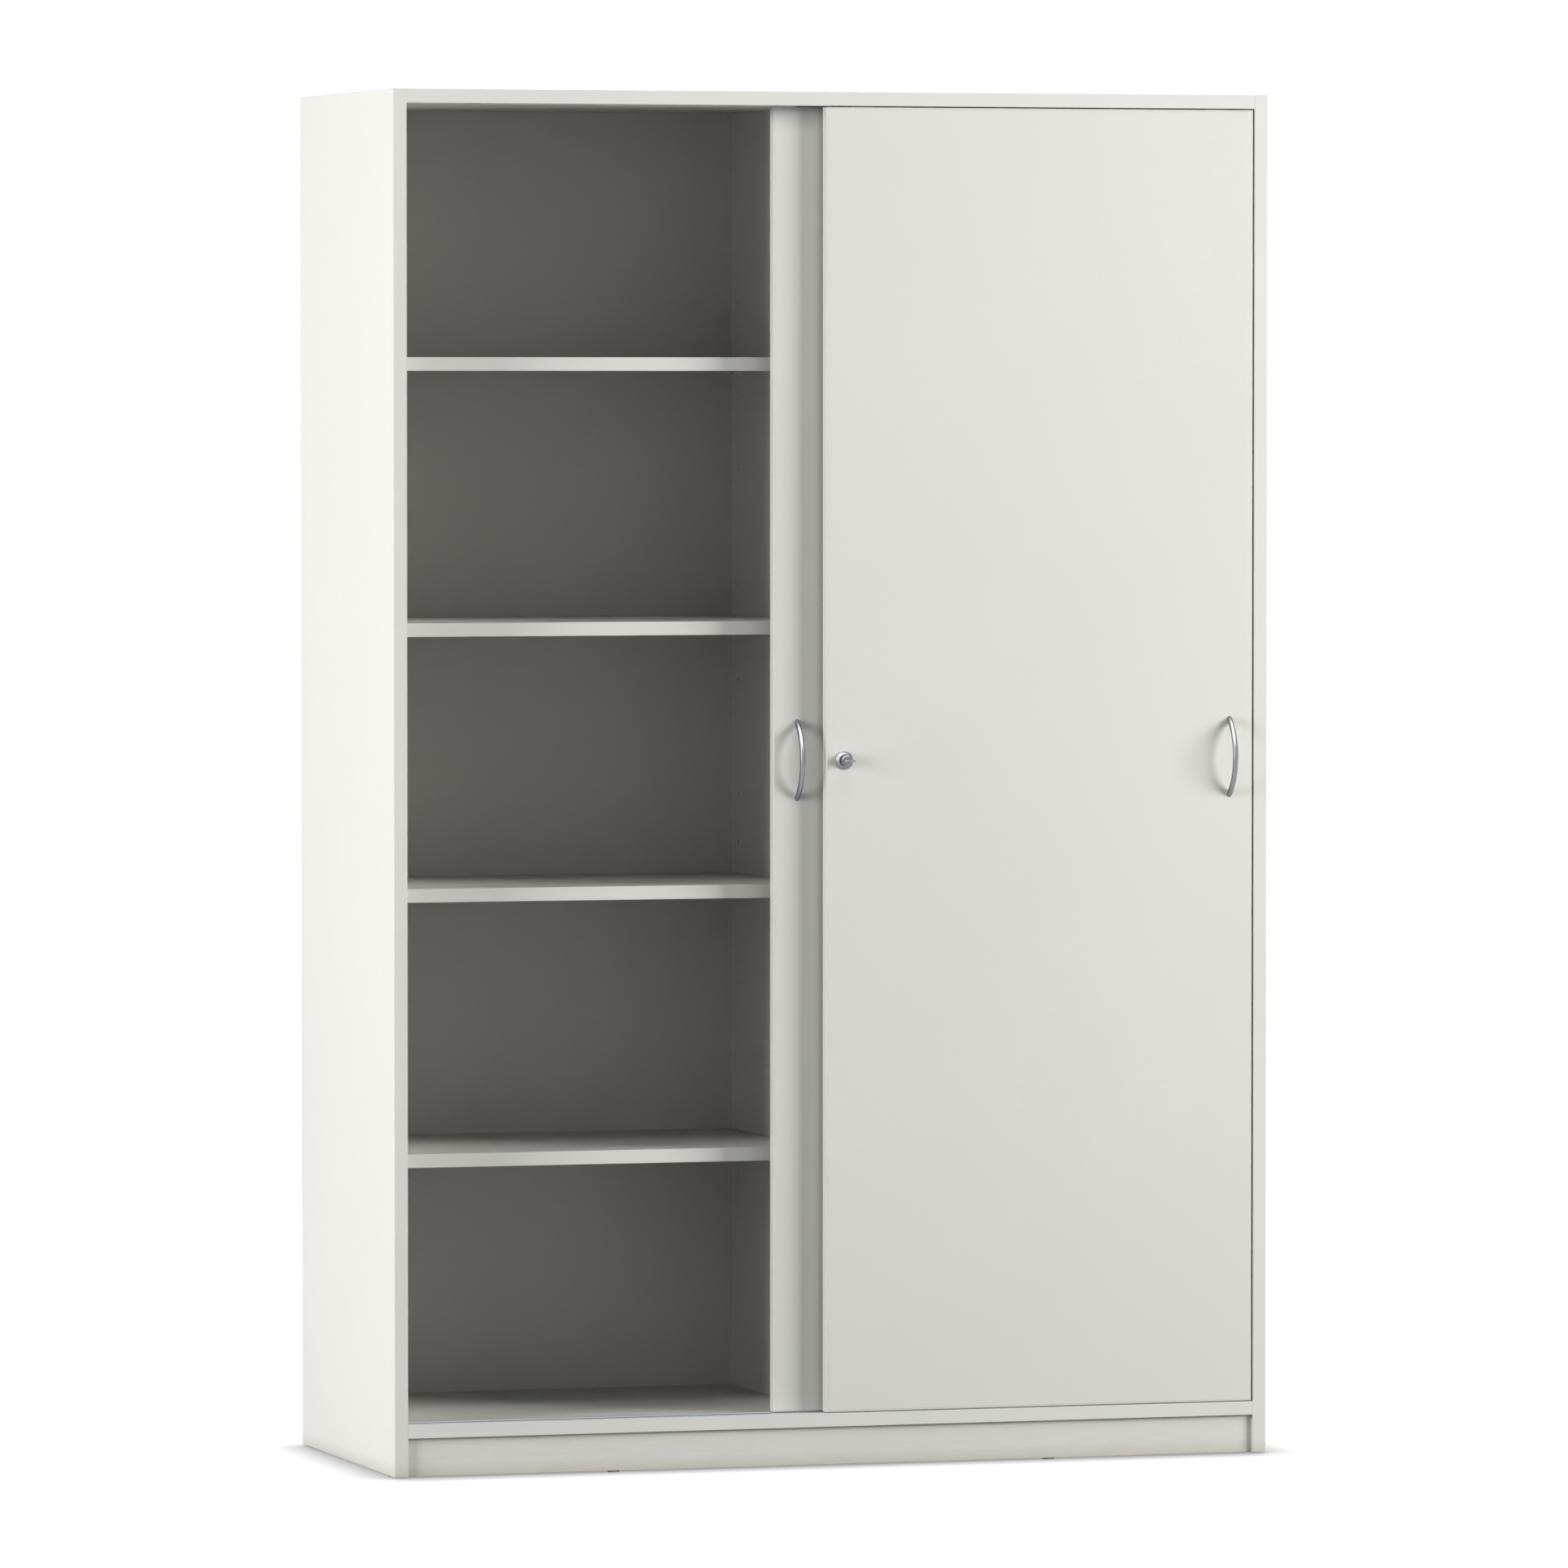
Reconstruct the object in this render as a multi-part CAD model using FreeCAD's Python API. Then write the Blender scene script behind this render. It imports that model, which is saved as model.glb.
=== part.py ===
import FreeCAD, Part

import math
import os

# Cabinet with two sliding doors, a centre partition and two bays of adjustable shelves.
# Millimetres. +Z up, +X to the viewer's right, +Y to the back. The origin lies on the floor, in the
# middle of the whole object's box, which reaches from the tip of the key to the rear edges.
# The left door is pushed to the right, in front of the shelves of the right bay and behind the right
# door, so that the left bay stands open.

# ---- Carcass ----
cabinet_width = 1200.0
cabinet_depth = 482.0
cabinet_height = 1807.0
board = 18.0
carcass_edge_band = 1.0
carcass_edge_radius = 0.6
plinth_height = 50.0
plinth_front_setback = 6.0
plinth_rear_setback = 40.0
partition_setback = 60.0
back_thickness = 8.0
back_recess = 26.0
back_groove_depth = 7.0
back_groove_play = 0.2
back_edge_play = 0.5

# ---- Shelves and their holes ----
shelves_per_bay = 4
shelf_thickness = 18.0
shelf_setback = 78.0
shelf_side_play = 1.0
shelf_rear_play = 1.0
hole_pitch = 32.0
holes_each_way = 4
hole_radius = 2.5
hole_depth = 11.0
hole_front_inset = 37.0
hole_rear_inset = 32.0
shelf_pin_radius = 2.45
shelf_pin_depth = 8.5
shelf_pin_collar_radius = 4.0
shelf_pin_collar_thickness = 0.8
shelf_pin_reach = 8.0
shelf_pin_seat_width = 6.0

# ---- Doors ----
door_thickness = 18.0
door_setback = 1.0
door_spacing = 8.0
door_side_gap = 2.0
door_floor_gap = 1.2
door_top_gap = 1.5
door_overlap = 24.0
door_edge_band = 2.0
door_edge_radius = 1.2
finger_room = 29.0

# ---- Handles ----
fittings_height = 930.0
handle_inset = 32.0
handle_height = 108.0
handle_projection = 28.5
handle_bar_diameter = 7.0
handle_hole_spacing = 96.0
handle_screw_radius = 2.0
handle_screw_grip = 4.0
screw_head_radius = 3.8
screw_head_height = 2.4

# ---- Tracks and running gear ----
track_front_inset = 3.0
track_rear_margin = 4.0
track_end_gap = 0.5
floor_track_thickness = 5.0
floor_groove_width = 7.0
floor_groove_depth = 2.5
track_lip_width = 1.0
track_lip_height = 0.6
head_track_thickness = 9.0
head_groove_width = 8.0
head_groove_depth = 7.0
wheel_radius = 10.0
wheel_width = 6.0
wheel_chamfer = 0.6
wheel_inset = 62.0
axle_radius = 2.0
housing_length = 64.0
housing_width = 12.0
housing_height = 26.0
wheel_well_play = 1.5
wheel_side_play = 0.4
guide_inset = 50.0
guide_block_length = 44.0
guide_block_width = 10.0
guide_block_height = 20.0
guide_nose_length = 30.0
guide_nose_engagement = 5.0
guide_side_play = 0.4
stop_length = 15.0
buffer_radius = 5.0
buffer_end_inset = 200.0
seat_gap = 0.3

# ---- Lock ----
lock_inset = 24.0
lock_flange_radius = 12.0
lock_flange_rim = 1.2
lock_flange_height = 5.0
lock_flange_top_radius = 8.6
lock_body_radius = 9.5
lock_cylinder_radius = 6.7
lock_cylinder_projection = 12.6
lock_travel = 7.0
lock_travel_spare = 1.0
lock_plate_height = 44.0
lock_plate_width = 22.0
lock_plate_thickness = 1.5
lock_plate_screw_spacing = 32.0
bolt_pin_radius = 3.5
bolt_pin_recess = 0.5
spring_pocket_depth = 6.0
spring_pocket_wall = 0.8
spring_wire_radius = 0.35
spring_wire_sides = 8
spring_turns = 6
plug_radius = 4.65
plug_length = 12.5
key_blade_width = 7.0
key_blade_thickness = 1.5
key_blade_depth = 11.0
key_slot_play = 0.2
key_neck = 1.0
key_bow_width = 17.0
key_bow_length = 16.4
key_bow_thickness = 2.0
key_bow_corner_radius = 6.5
key_ring_hole_radius = 2.6
key_ring_hole_inset = 5.5
key_blade_start_in_bow = 4.0
keeper_width = 12.0
keeper_height = 24.0
keeper_proud = 6.0
keeper_chamfer = 1.0
keeper_pin_gap = 0.5
keeper_screw_spacing = 13.0

# ---- Joints between the boards ----
fitting_front_inset = 95.0
fitting_rear_inset = 72.0
cams_per_end = 3
cam_radius = 7.4
cam_depth = 12.5
cam_distance = 34.0
cam_bolt_thread_radius = 2.5
cam_bolt_thread_length = 11.0
cam_bolt_shank_radius = 3.0
cam_bolt_head_radius = 3.6
cam_bolt_head_length = 2.5
dowel_radius = 4.0
dowel_length = 30.0
dowel_share_in_panel = 10.0
dowel_end_play = 1.0
dowel_from_cam = 36.0
plinth_dowel_inset = 12.0
plinth_dowel_spread = 400.0
plinth_dowel_count = 4
glide_thickness = 2.0
glide_radius = 8.0
glide_inset = 40.0
glide_spread = 300.0
glide_nail_radius = 1.25
glide_nail_length = 14.0

# ---- Wood screws ----
wood_screw_radius = 1.8
wood_screw_head_radius = 3.6
wood_screw_head_height = 2.0
small_screw_radius = 1.2
small_screw_head_radius = 2.5
small_screw_head_height = 1.3
small_screw_length = 9.0
track_screw_length = 15.0
track_screw_count = 5
track_screw_inset = 60.0
back_screw_length = 32.0
back_screw_count = 5
back_screw_inset = 120.0

# ---- Clearances that every fit shares ----
pin_clearance = 0.05
bore_clearance = 0.1
pocket_clearance = 0.2

# Two coordinates closer than this count as one.
coordinate_tolerance = 1e-6

X = FreeCAD.Vector(1, 0, 0)
Y = FreeCAD.Vector(0, 1, 0)
Z = FreeCAD.Vector(0, 0, 1)

# ---- Places that follow from the sizes above ----
key_reach = lock_cylinder_projection + key_neck + key_bow_length
front_reach = max(key_reach - door_setback, handle_projection - door_setback, 0.0)
front = (front_reach - cabinet_depth) / 2
rear = front + cabinet_depth

outer = cabinet_width / 2
inner = outer - board
carcass_low = glide_thickness
floor_low = carcass_low + plinth_height
floor_top = floor_low + board
head_low = cabinet_height - board

back_rear = rear - back_recess
back_front = back_rear - back_thickness
partition_half = board / 2
partition_front = front + partition_setback
shelf_front = front + shelf_setback
shelf_rear = back_front - shelf_rear_play

door_width = (2 * inner - 2 * door_side_gap + door_overlap) / 2
door_low = floor_top + door_floor_gap
door_high = head_low - door_top_gap
front_door_face = front + door_setback
rear_door_face = front_door_face + door_thickness + door_spacing
right_door_left = inner - door_side_gap - door_width
left_door_closed = -inner + door_side_gap
left_door_open = right_door_left - finger_room - handle_bar_diameter / 2 - handle_inset
door_travel = left_door_open - left_door_closed

track_front = front + track_front_inset
track_rear = rear_door_face + door_thickness + track_rear_margin
front_groove_middle = front_door_face + door_thickness / 2
rear_groove_middle = rear_door_face + door_thickness / 2
wheel_axis_height = floor_top - floor_groove_depth + seat_gap + wheel_radius

lock_x = right_door_left + lock_inset
lock_plate_front = door_thickness - lock_plate_thickness
cylinder_inner_end = lock_plate_front - lock_travel - lock_travel_spare

clear_height = (head_low - floor_top - shelves_per_bay * shelf_thickness) / (shelves_per_bay + 1)
shelf_lows = []
for number in range(shelves_per_bay):
    shelf_lows.append(floor_top + clear_height + number * (clear_height + shelf_thickness))

hole_rows = (shelf_front + hole_front_inset, back_front - hole_rear_inset)
bays = {"left": (-inner, -partition_half), "right": (partition_half, inner)}


# ---- Shapes ----
def block(x_span, y_span, z_span):
    """A box from its low and high values along X, Y and Z."""
    corner = FreeCAD.Vector(x_span[0], y_span[0], z_span[0])
    return Part.makeBox(x_span[1] - x_span[0], y_span[1] - y_span[0], z_span[1] - z_span[0], corner)


def around(middle, width, margin=0.0):
    """The span of width about middle, with margin added at both ends."""
    return (middle - width / 2 - margin, middle + width / 2 + margin)


def rod(start, direction, length, radius):
    """A round bar that begins at start and runs along direction."""
    return Part.makeCylinder(radius, length, start, direction)


def turned(points, start, direction):
    """A solid turned about direction: points are (distance along it, radius), from start."""
    outline = [FreeCAD.Vector(radius, 0, distance) for distance, radius in points]
    profile = Part.Face(Part.makePolygon(outline + outline[:1]))
    solid = profile.revolve(FreeCAD.Vector(0, 0, 0), Z)
    solid.Placement = FreeCAD.Placement(start, FreeCAD.Rotation(Z, direction))
    return solid


def edges_in_plane(solid, axis, level, shortest=0.0):
    """The edges of a solid that lie in the plane axis = level and are longer than shortest."""
    chosen = []
    for edge in solid.Edges:
        distances = [abs(getattr(end.Point, axis) - level) for end in edge.Vertexes]
        if max(distances) < coordinate_tolerance and edge.Length > shortest:
            chosen.append(edge)
    return chosen


def long_edges_rounded(strip, axis, level, radius):
    """Round a strip's long edges in the plane axis = level: those of more than two boards' thickness."""
    return strip.makeFillet(radius, edges_in_plane(strip, axis, level, 2 * board))


def countersunk(point, direction, length, radius, head_radius, head_height, clearance=0.0):
    """A countersunk screw whose head is flush at point, or with a clearance the hole for it."""
    head = Part.makeCone(head_radius + clearance, radius + clearance, head_height, point, direction)
    return head.fuse(rod(point, direction, length + clearance, radius + clearance))


def wood_screw(point, direction, length, clearance=0.0):
    return countersunk(point, direction, length, wood_screw_radius, wood_screw_head_radius,
                       wood_screw_head_height, clearance)


def small_screw(point, direction, length, clearance=0.0):
    return countersunk(point, direction, length, small_screw_radius, small_screw_head_radius,
                       small_screw_head_height, clearance)


def spread(low, high, count):
    """Evenly spaced values from low to high."""
    return [low + (high - low) * step / (count - 1) for step in range(count)]


nodes = {}


def keep(name, *solids):
    """Store a node: one solid, or several as a group."""
    nodes[name] = solids[0] if len(solids) == 1 else Part.makeCompound(list(solids))


# ---- Hidden joints: a cam with its bolt, and a dowel ----
cam_housings = []
cam_bolts = []
dowels = []


def add_cam_joint(point, into_panel, to_face):
    """A cam joint at point, on the plane where a board's end meets a panel's face.

    The bolt runs along into_panel at the board's mid-thickness and the cam is let into the board
    from the face that to_face points at. Returns the bores for the board and for the panel.
    """
    thread = rod(point, into_panel, cam_bolt_thread_length, cam_bolt_thread_radius)
    shank = rod(point, -into_panel, cam_distance, cam_bolt_shank_radius)
    head_start = point - into_panel * (cam_distance - cam_bolt_head_length / 2)
    head = rod(head_start, -into_panel, cam_bolt_head_length, cam_bolt_head_radius)
    cam_bolts.append(thread.fuse([shank, head]))

    cam_mouth = point - into_panel * cam_distance + to_face * (board / 2)
    cam = rod(cam_mouth, -to_face, cam_depth, cam_radius)
    way_in = rod(point, -into_panel, cam_distance + cam_bolt_head_length,
                 cam_bolt_head_radius + bore_clearance)
    cam_housings.append(cam.cut(way_in))

    board_bores = [
        rod(cam_mouth, -to_face, cam_depth + bore_clearance, cam_radius + bore_clearance),
        rod(point, -into_panel, cam_distance, cam_bolt_head_radius + bore_clearance),
    ]
    panel_bores = [rod(point, into_panel, cam_bolt_thread_length + bore_clearance,
                       cam_bolt_thread_radius + pin_clearance)]
    return board_bores, panel_bores


def add_dowel(point, into_panel):
    """A dowel across the joint at point. Returns the bores for the board and for the panel."""
    share_in_board = dowel_length - dowel_share_in_panel
    dowels.append(rod(point - into_panel * share_in_board, into_panel, dowel_length, dowel_radius))
    bore_radius = dowel_radius + pin_clearance
    board_bore = rod(point, -into_panel, share_in_board + dowel_end_play, bore_radius)
    panel_bore = rod(point, into_panel, dowel_share_in_panel + dowel_end_play, bore_radius)
    return [board_bore], [panel_bore]


side_bores = {-1: [], 1: []}
head_bores = []
floor_bores = []
partition_bores = []
cam_rows = spread(front + fitting_front_inset, rear - fitting_rear_inset, cams_per_end)
dowel_rows = (cam_rows[0] + dowel_from_cam, cam_rows[-1] - dowel_from_cam)
level_boards = ((head_bores, head_low + board / 2), (floor_bores, floor_low + board / 2))

for side in (-1, 1):
    for own_bores, middle_height in level_boards:
        for row in cam_rows:
            joint = FreeCAD.Vector(side * inner, row, middle_height)
            board_bores, panel_bores = add_cam_joint(joint, X * side, -Z)
            own_bores += board_bores
            side_bores[side] += panel_bores
        for row in dowel_rows:
            joint = FreeCAD.Vector(side * inner, row, middle_height)
            board_bores, panel_bores = add_dowel(joint, X * side)
            own_bores += board_bores
            side_bores[side] += panel_bores

for joint_height, into_panel, panel_own in ((head_low, Z, head_bores), (floor_top, -Z, floor_bores)):
    for row in (cam_rows[0], cam_rows[-1]):
        board_bores, panel_bores = add_cam_joint(FreeCAD.Vector(0, row, joint_height), into_panel, X)
        partition_bores += board_bores
        panel_own += panel_bores
    for row in dowel_rows:
        board_bores, panel_bores = add_dowel(FreeCAD.Vector(0, row, joint_height), into_panel)
        partition_bores += board_bores
        panel_own += panel_bores

# ---- Plinth boards, with their dowels ----
plinth_spans = {
    "plinth_front": (front + plinth_front_setback, front + plinth_front_setback + board),
    "plinth_rear": (rear - plinth_rear_setback - board, rear - plinth_rear_setback),
}
plinth_boards = {}
for name, span in plinth_spans.items():
    middle = sum(span) / 2
    own_bores = []
    for side in (-1, 1):
        for height in (carcass_low + plinth_dowel_inset, floor_low - plinth_dowel_inset):
            joint = FreeCAD.Vector(side * inner, middle, height)
            board_bores, panel_bores = add_dowel(joint, X * side)
            own_bores += board_bores
            side_bores[side] += panel_bores
    for place in spread(-plinth_dowel_spread, plinth_dowel_spread, plinth_dowel_count):
        board_bores, panel_bores = add_dowel(FreeCAD.Vector(place, middle, floor_low), Z)
        own_bores += board_bores
        floor_bores += panel_bores
    plinth_boards[name] = block((-inner, inner), span, (carcass_low, floor_low)).cut(own_bores)

# ---- Glides under the side panels and the plinth ----
glide_places = []
for side in (-1, 1):
    for row in (front + glide_inset, rear - glide_inset):
        glide_places.append((side * (outer - board / 2), row, "side", side))
for name, span in plinth_spans.items():
    for place in (-glide_spread, glide_spread):
        glide_places.append((place, sum(span) / 2, name, 0))

glides = []
nail_bores = {"plinth_front": [], "plinth_rear": []}
for x, y, carrier, side in glide_places:
    nail_start = FreeCAD.Vector(x, y, carcass_low)
    foot = rod(nail_start, -Z, glide_thickness, glide_radius)
    glides.append(foot.fuse(rod(nail_start, Z, glide_nail_length, glide_nail_radius)))
    nail_bore = rod(nail_start, Z, glide_nail_length + bore_clearance,
                    glide_nail_radius + pin_clearance)
    if carrier == "side":
        side_bores[side].append(nail_bore)
    else:
        nail_bores[carrier].append(nail_bore)
for name, plinth_board in plinth_boards.items():
    keep(name, plinth_board.cut(nail_bores[name]))
keep("floor_glides", *glides)

# ---- Shelf holes: a group of holes at each shelf, in a front and a rear row ----
pin_heights = [low - shelf_pin_collar_radius for low in shelf_lows]
hole_heights = []
for pin_height in pin_heights:
    for step in range(-holes_each_way, holes_each_way + 1):
        hole_heights.append(pin_height + step * hole_pitch)

for row in hole_rows:
    for height in hole_heights:
        for side in (-1, 1):
            mouth = FreeCAD.Vector(side * inner, row, height)
            side_bores[side].append(rod(mouth, X * side, hole_depth, hole_radius))
        left_mouth = FreeCAD.Vector(-partition_half, row, height)
        partition_bores.append(rod(left_mouth, X, board, hole_radius))

# ---- Carcass boards ----
groove_span = (back_front - back_groove_play, back_rear + back_groove_play)
core_front = front + carcass_edge_band
for name, side in (("side_panel_left", -1), ("side_panel_right", 1)):
    x_span = sorted((side * inner, side * outer))
    groove_x = sorted((side * inner, side * (inner + back_groove_depth)))
    groove = block(groove_x, groove_span, (floor_top - back_groove_depth, head_low + back_groove_depth))
    panel = block(x_span, (core_front, rear), (carcass_low, cabinet_height))
    keep(name, panel.cut(side_bores[side] + [groove]))

# The head board carries the head track in a pocket in its underside, the floor board the floor track.
track_y = (track_front, track_rear)
head_track_z = (head_low, head_low + head_track_thickness)
floor_track_z = (floor_top - floor_track_thickness, floor_top)
head_track_pocket = block((-inner, inner), track_y, head_track_z)
floor_track_pocket = block((-inner, inner), track_y, floor_track_z)
head_groove = block((-inner, inner), groove_span, (head_low, head_low + back_groove_depth))
floor_groove = block((-inner, inner), groove_span, (floor_top - back_groove_depth, floor_top))

track_screw_row = (front_door_face + door_thickness + rear_door_face) / 2
track_screw_places = spread(-inner + track_screw_inset, inner - track_screw_inset, track_screw_count)
track_screws = []
for place in track_screw_places:
    for level, into_board in ((head_low, Z), (floor_top, -Z)):
        head = FreeCAD.Vector(place, track_screw_row, level)
        track_screws.append((head, into_board, track_screw_length))
track_screw_solids = [wood_screw(*screw) for screw in track_screws]
track_screw_holes = [wood_screw(*screw, clearance=pin_clearance) for screw in track_screws]

head_board = block((-inner, inner), (core_front, rear), (head_low, cabinet_height))
head_cuts = head_bores + [head_track_pocket, head_groove] + track_screw_holes
keep("top_panel", head_board.cut(head_cuts))
floor_board = block((-inner, inner), (core_front, rear), (floor_low, floor_top))
floor_cuts = floor_bores + [floor_track_pocket, floor_groove] + track_screw_holes
keep("bottom_panel", floor_board.cut(floor_cuts))

back_reach = back_groove_depth - back_edge_play
back_screws = []
for height in spread(floor_top + back_screw_inset, head_low - back_screw_inset, back_screw_count):
    back_screws.append((FreeCAD.Vector(0, back_rear, height), -Y, back_screw_length))
back_screw_holes = [wood_screw(*screw, clearance=pin_clearance) for screw in back_screws]
back_panel = block((-inner - back_reach, inner + back_reach), (back_front, back_rear),
                   (floor_top - back_reach, head_low + back_reach))
keep("back_panel", back_panel.cut(back_screw_holes))
keep("back_panel_screws", *[wood_screw(*screw) for screw in back_screws])

partition = block((-partition_half, partition_half), (partition_front + carcass_edge_band, back_front),
                  (floor_top, head_low))
keep("centre_partition", partition.cut(partition_bores + back_screw_holes))

keep("cam_housings", *cam_housings)
keep("cam_bolts", *cam_bolts)
keep("dowels", *dowels)


# ---- Edge bands of the carcass, with softly rounded front corners ----
def front_band(x_span, z_span, band_front):
    """An edge band along the front of an upright or a level board."""
    band = block(x_span, (band_front, band_front + carcass_edge_band), z_span)
    return long_edges_rounded(band, "y", band_front, carcass_edge_radius)


keep("side_edge_bands",
     front_band((-outer, -inner), (carcass_low, cabinet_height), front),
     front_band((inner, outer), (carcass_low, cabinet_height), front))
keep("top_edge_band", front_band((-inner, inner), (head_low, cabinet_height), front))
keep("bottom_edge_band", front_band((-inner, inner), (floor_low, floor_top), front))
keep("partition_edge_band",
     front_band((-partition_half, partition_half), (floor_top, head_low), partition_front))

# ---- Shelves, their edge bands and the pins that carry them ----
shelf_bands = []
shelf_pins = []
for bay, (bay_left, bay_right) in bays.items():
    shelf_x = (bay_left + shelf_side_play, bay_right - shelf_side_play)
    for number, low in enumerate(shelf_lows, start=1):
        shelf_z = (low, low + shelf_thickness)
        shelf = block(shelf_x, (shelf_front + carcass_edge_band, shelf_rear), shelf_z)
        keep(f"shelf_{bay}_{number}", shelf)
        shelf_bands.append(front_band(shelf_x, shelf_z, shelf_front))
        for wall, inward in ((bay_left, X), (bay_right, -X)):
            for row in hole_rows:
                hole_mouth = FreeCAD.Vector(wall, row, low - shelf_pin_collar_radius)
                pin = rod(hole_mouth - inward * shelf_pin_depth, inward,
                          shelf_pin_depth + shelf_pin_collar_thickness, shelf_pin_radius)
                collar = rod(hole_mouth, inward, shelf_pin_collar_thickness, shelf_pin_collar_radius)
                seat_end = wall + inward.x * shelf_pin_reach
                seat = block(sorted((wall, seat_end)), around(row, shelf_pin_seat_width),
                             (low - shelf_pin_collar_radius, low))
                shelf_pins.append(pin.fuse([collar, seat]))
keep("shelf_edge_bands", *shelf_bands)
keep("shelf_pins", *shelf_pins)

# ---- Tracks ----
track_x = (-inner + track_end_gap, inner - track_end_gap)
floor_groove_z = (floor_top - floor_groove_depth, floor_top + track_lip_height)
head_groove_z = (head_low, head_low + head_groove_depth)
floor_track = block(track_x, track_y, floor_track_z)
head_track = block(track_x, track_y, head_track_z)
for middle in (front_groove_middle, rear_groove_middle):
    wheel_groove = block(track_x, around(middle, floor_groove_width), floor_groove_z)
    lips = block(track_x, around(middle, floor_groove_width, track_lip_width), floor_groove_z)
    floor_track = floor_track.fuse(lips).cut(wheel_groove)
    guide_groove = block(track_x, around(middle, head_groove_width), head_groove_z)
    head_track = head_track.cut(guide_groove)
keep("bottom_track", floor_track.removeSplitter().cut(track_screw_holes))
keep("top_track", head_track.cut(track_screw_holes))
keep("track_screws", *track_screw_solids)

# The stop in each head groove halts the door's guide where the door ends its travel.
guide_offset = door_width / 2 - guide_inset
guide_nose_width = head_groove_width - 2 * guide_side_play
left_door_middle = left_door_open + door_width / 2
right_door_middle = right_door_left + door_width / 2
left_stop_start = left_door_middle + guide_offset + guide_nose_length / 2 + seat_gap
right_stop_end = right_door_middle - door_travel - guide_offset - guide_nose_length / 2 - seat_gap
keep("track_stops",
     block((left_stop_start, left_stop_start + stop_length),
           around(rear_groove_middle, head_groove_width), head_groove_z),
     block((right_stop_end - stop_length, right_stop_end),
           around(front_groove_middle, head_groove_width), head_groove_z))

buffers = []
buffer_thickness = door_side_gap - seat_gap
for height in (door_low + buffer_end_inset, door_high - buffer_end_inset):
    for wall, row, inward in ((-inner, rear_groove_middle, X), (inner, front_groove_middle, -X)):
        buffers.append(rod(FreeCAD.Vector(wall, row, height), inward, buffer_thickness, buffer_radius))
keep("door_buffers", *buffers)

# ---- Handle: a bow of round bar, an arc cut off flat at the door's face ----
handle_outer_radius = ((handle_height / 2) ** 2 + handle_projection ** 2) / (2 * handle_projection)
handle_centre_depth = handle_outer_radius - handle_projection
handle_arc_radius = handle_outer_radius - handle_bar_diameter / 2
handle_screw_heights = around(fittings_height, handle_hole_spacing)


def handle_bow(x, face):
    """The bow in front of a door's face, with a threaded hole in each foot."""
    centre = FreeCAD.Vector(x, face + handle_centre_depth, fittings_height)
    ring = Part.makeTorus(handle_arc_radius, handle_bar_diameter / 2, centre, X)
    in_front = block(around(x, 2 * handle_bar_diameter), (face - 2 * handle_projection, face),
                     around(fittings_height, 2 * handle_height))
    feet = [rod(FreeCAD.Vector(x, face, height), -Y, handle_screw_grip + bore_clearance,
                handle_screw_radius + pin_clearance) for height in handle_screw_heights]
    return ring.common(in_front).cut(feet)


def handle_screw(x, height, face, clearance=0.0):
    """A machine screw through the door into the handle, its head sunk in the door's rear face."""
    head_seat = FreeCAD.Vector(x, face + door_thickness, height)
    head = rod(head_seat, -Y, screw_head_height + clearance, screw_head_radius + clearance)
    shank_length = door_thickness + handle_screw_grip
    return head.fuse(rod(head_seat, -Y, shank_length, handle_screw_radius + clearance))


# ---- Doors ----
wheel_outline = [
    (0, axle_radius + pin_clearance),
    (0, wheel_radius - wheel_chamfer),
    (wheel_chamfer, wheel_radius),
    (wheel_width - wheel_chamfer, wheel_radius),
    (wheel_width, wheel_radius - wheel_chamfer),
    (wheel_width, axle_radius + pin_clearance),
]


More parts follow.
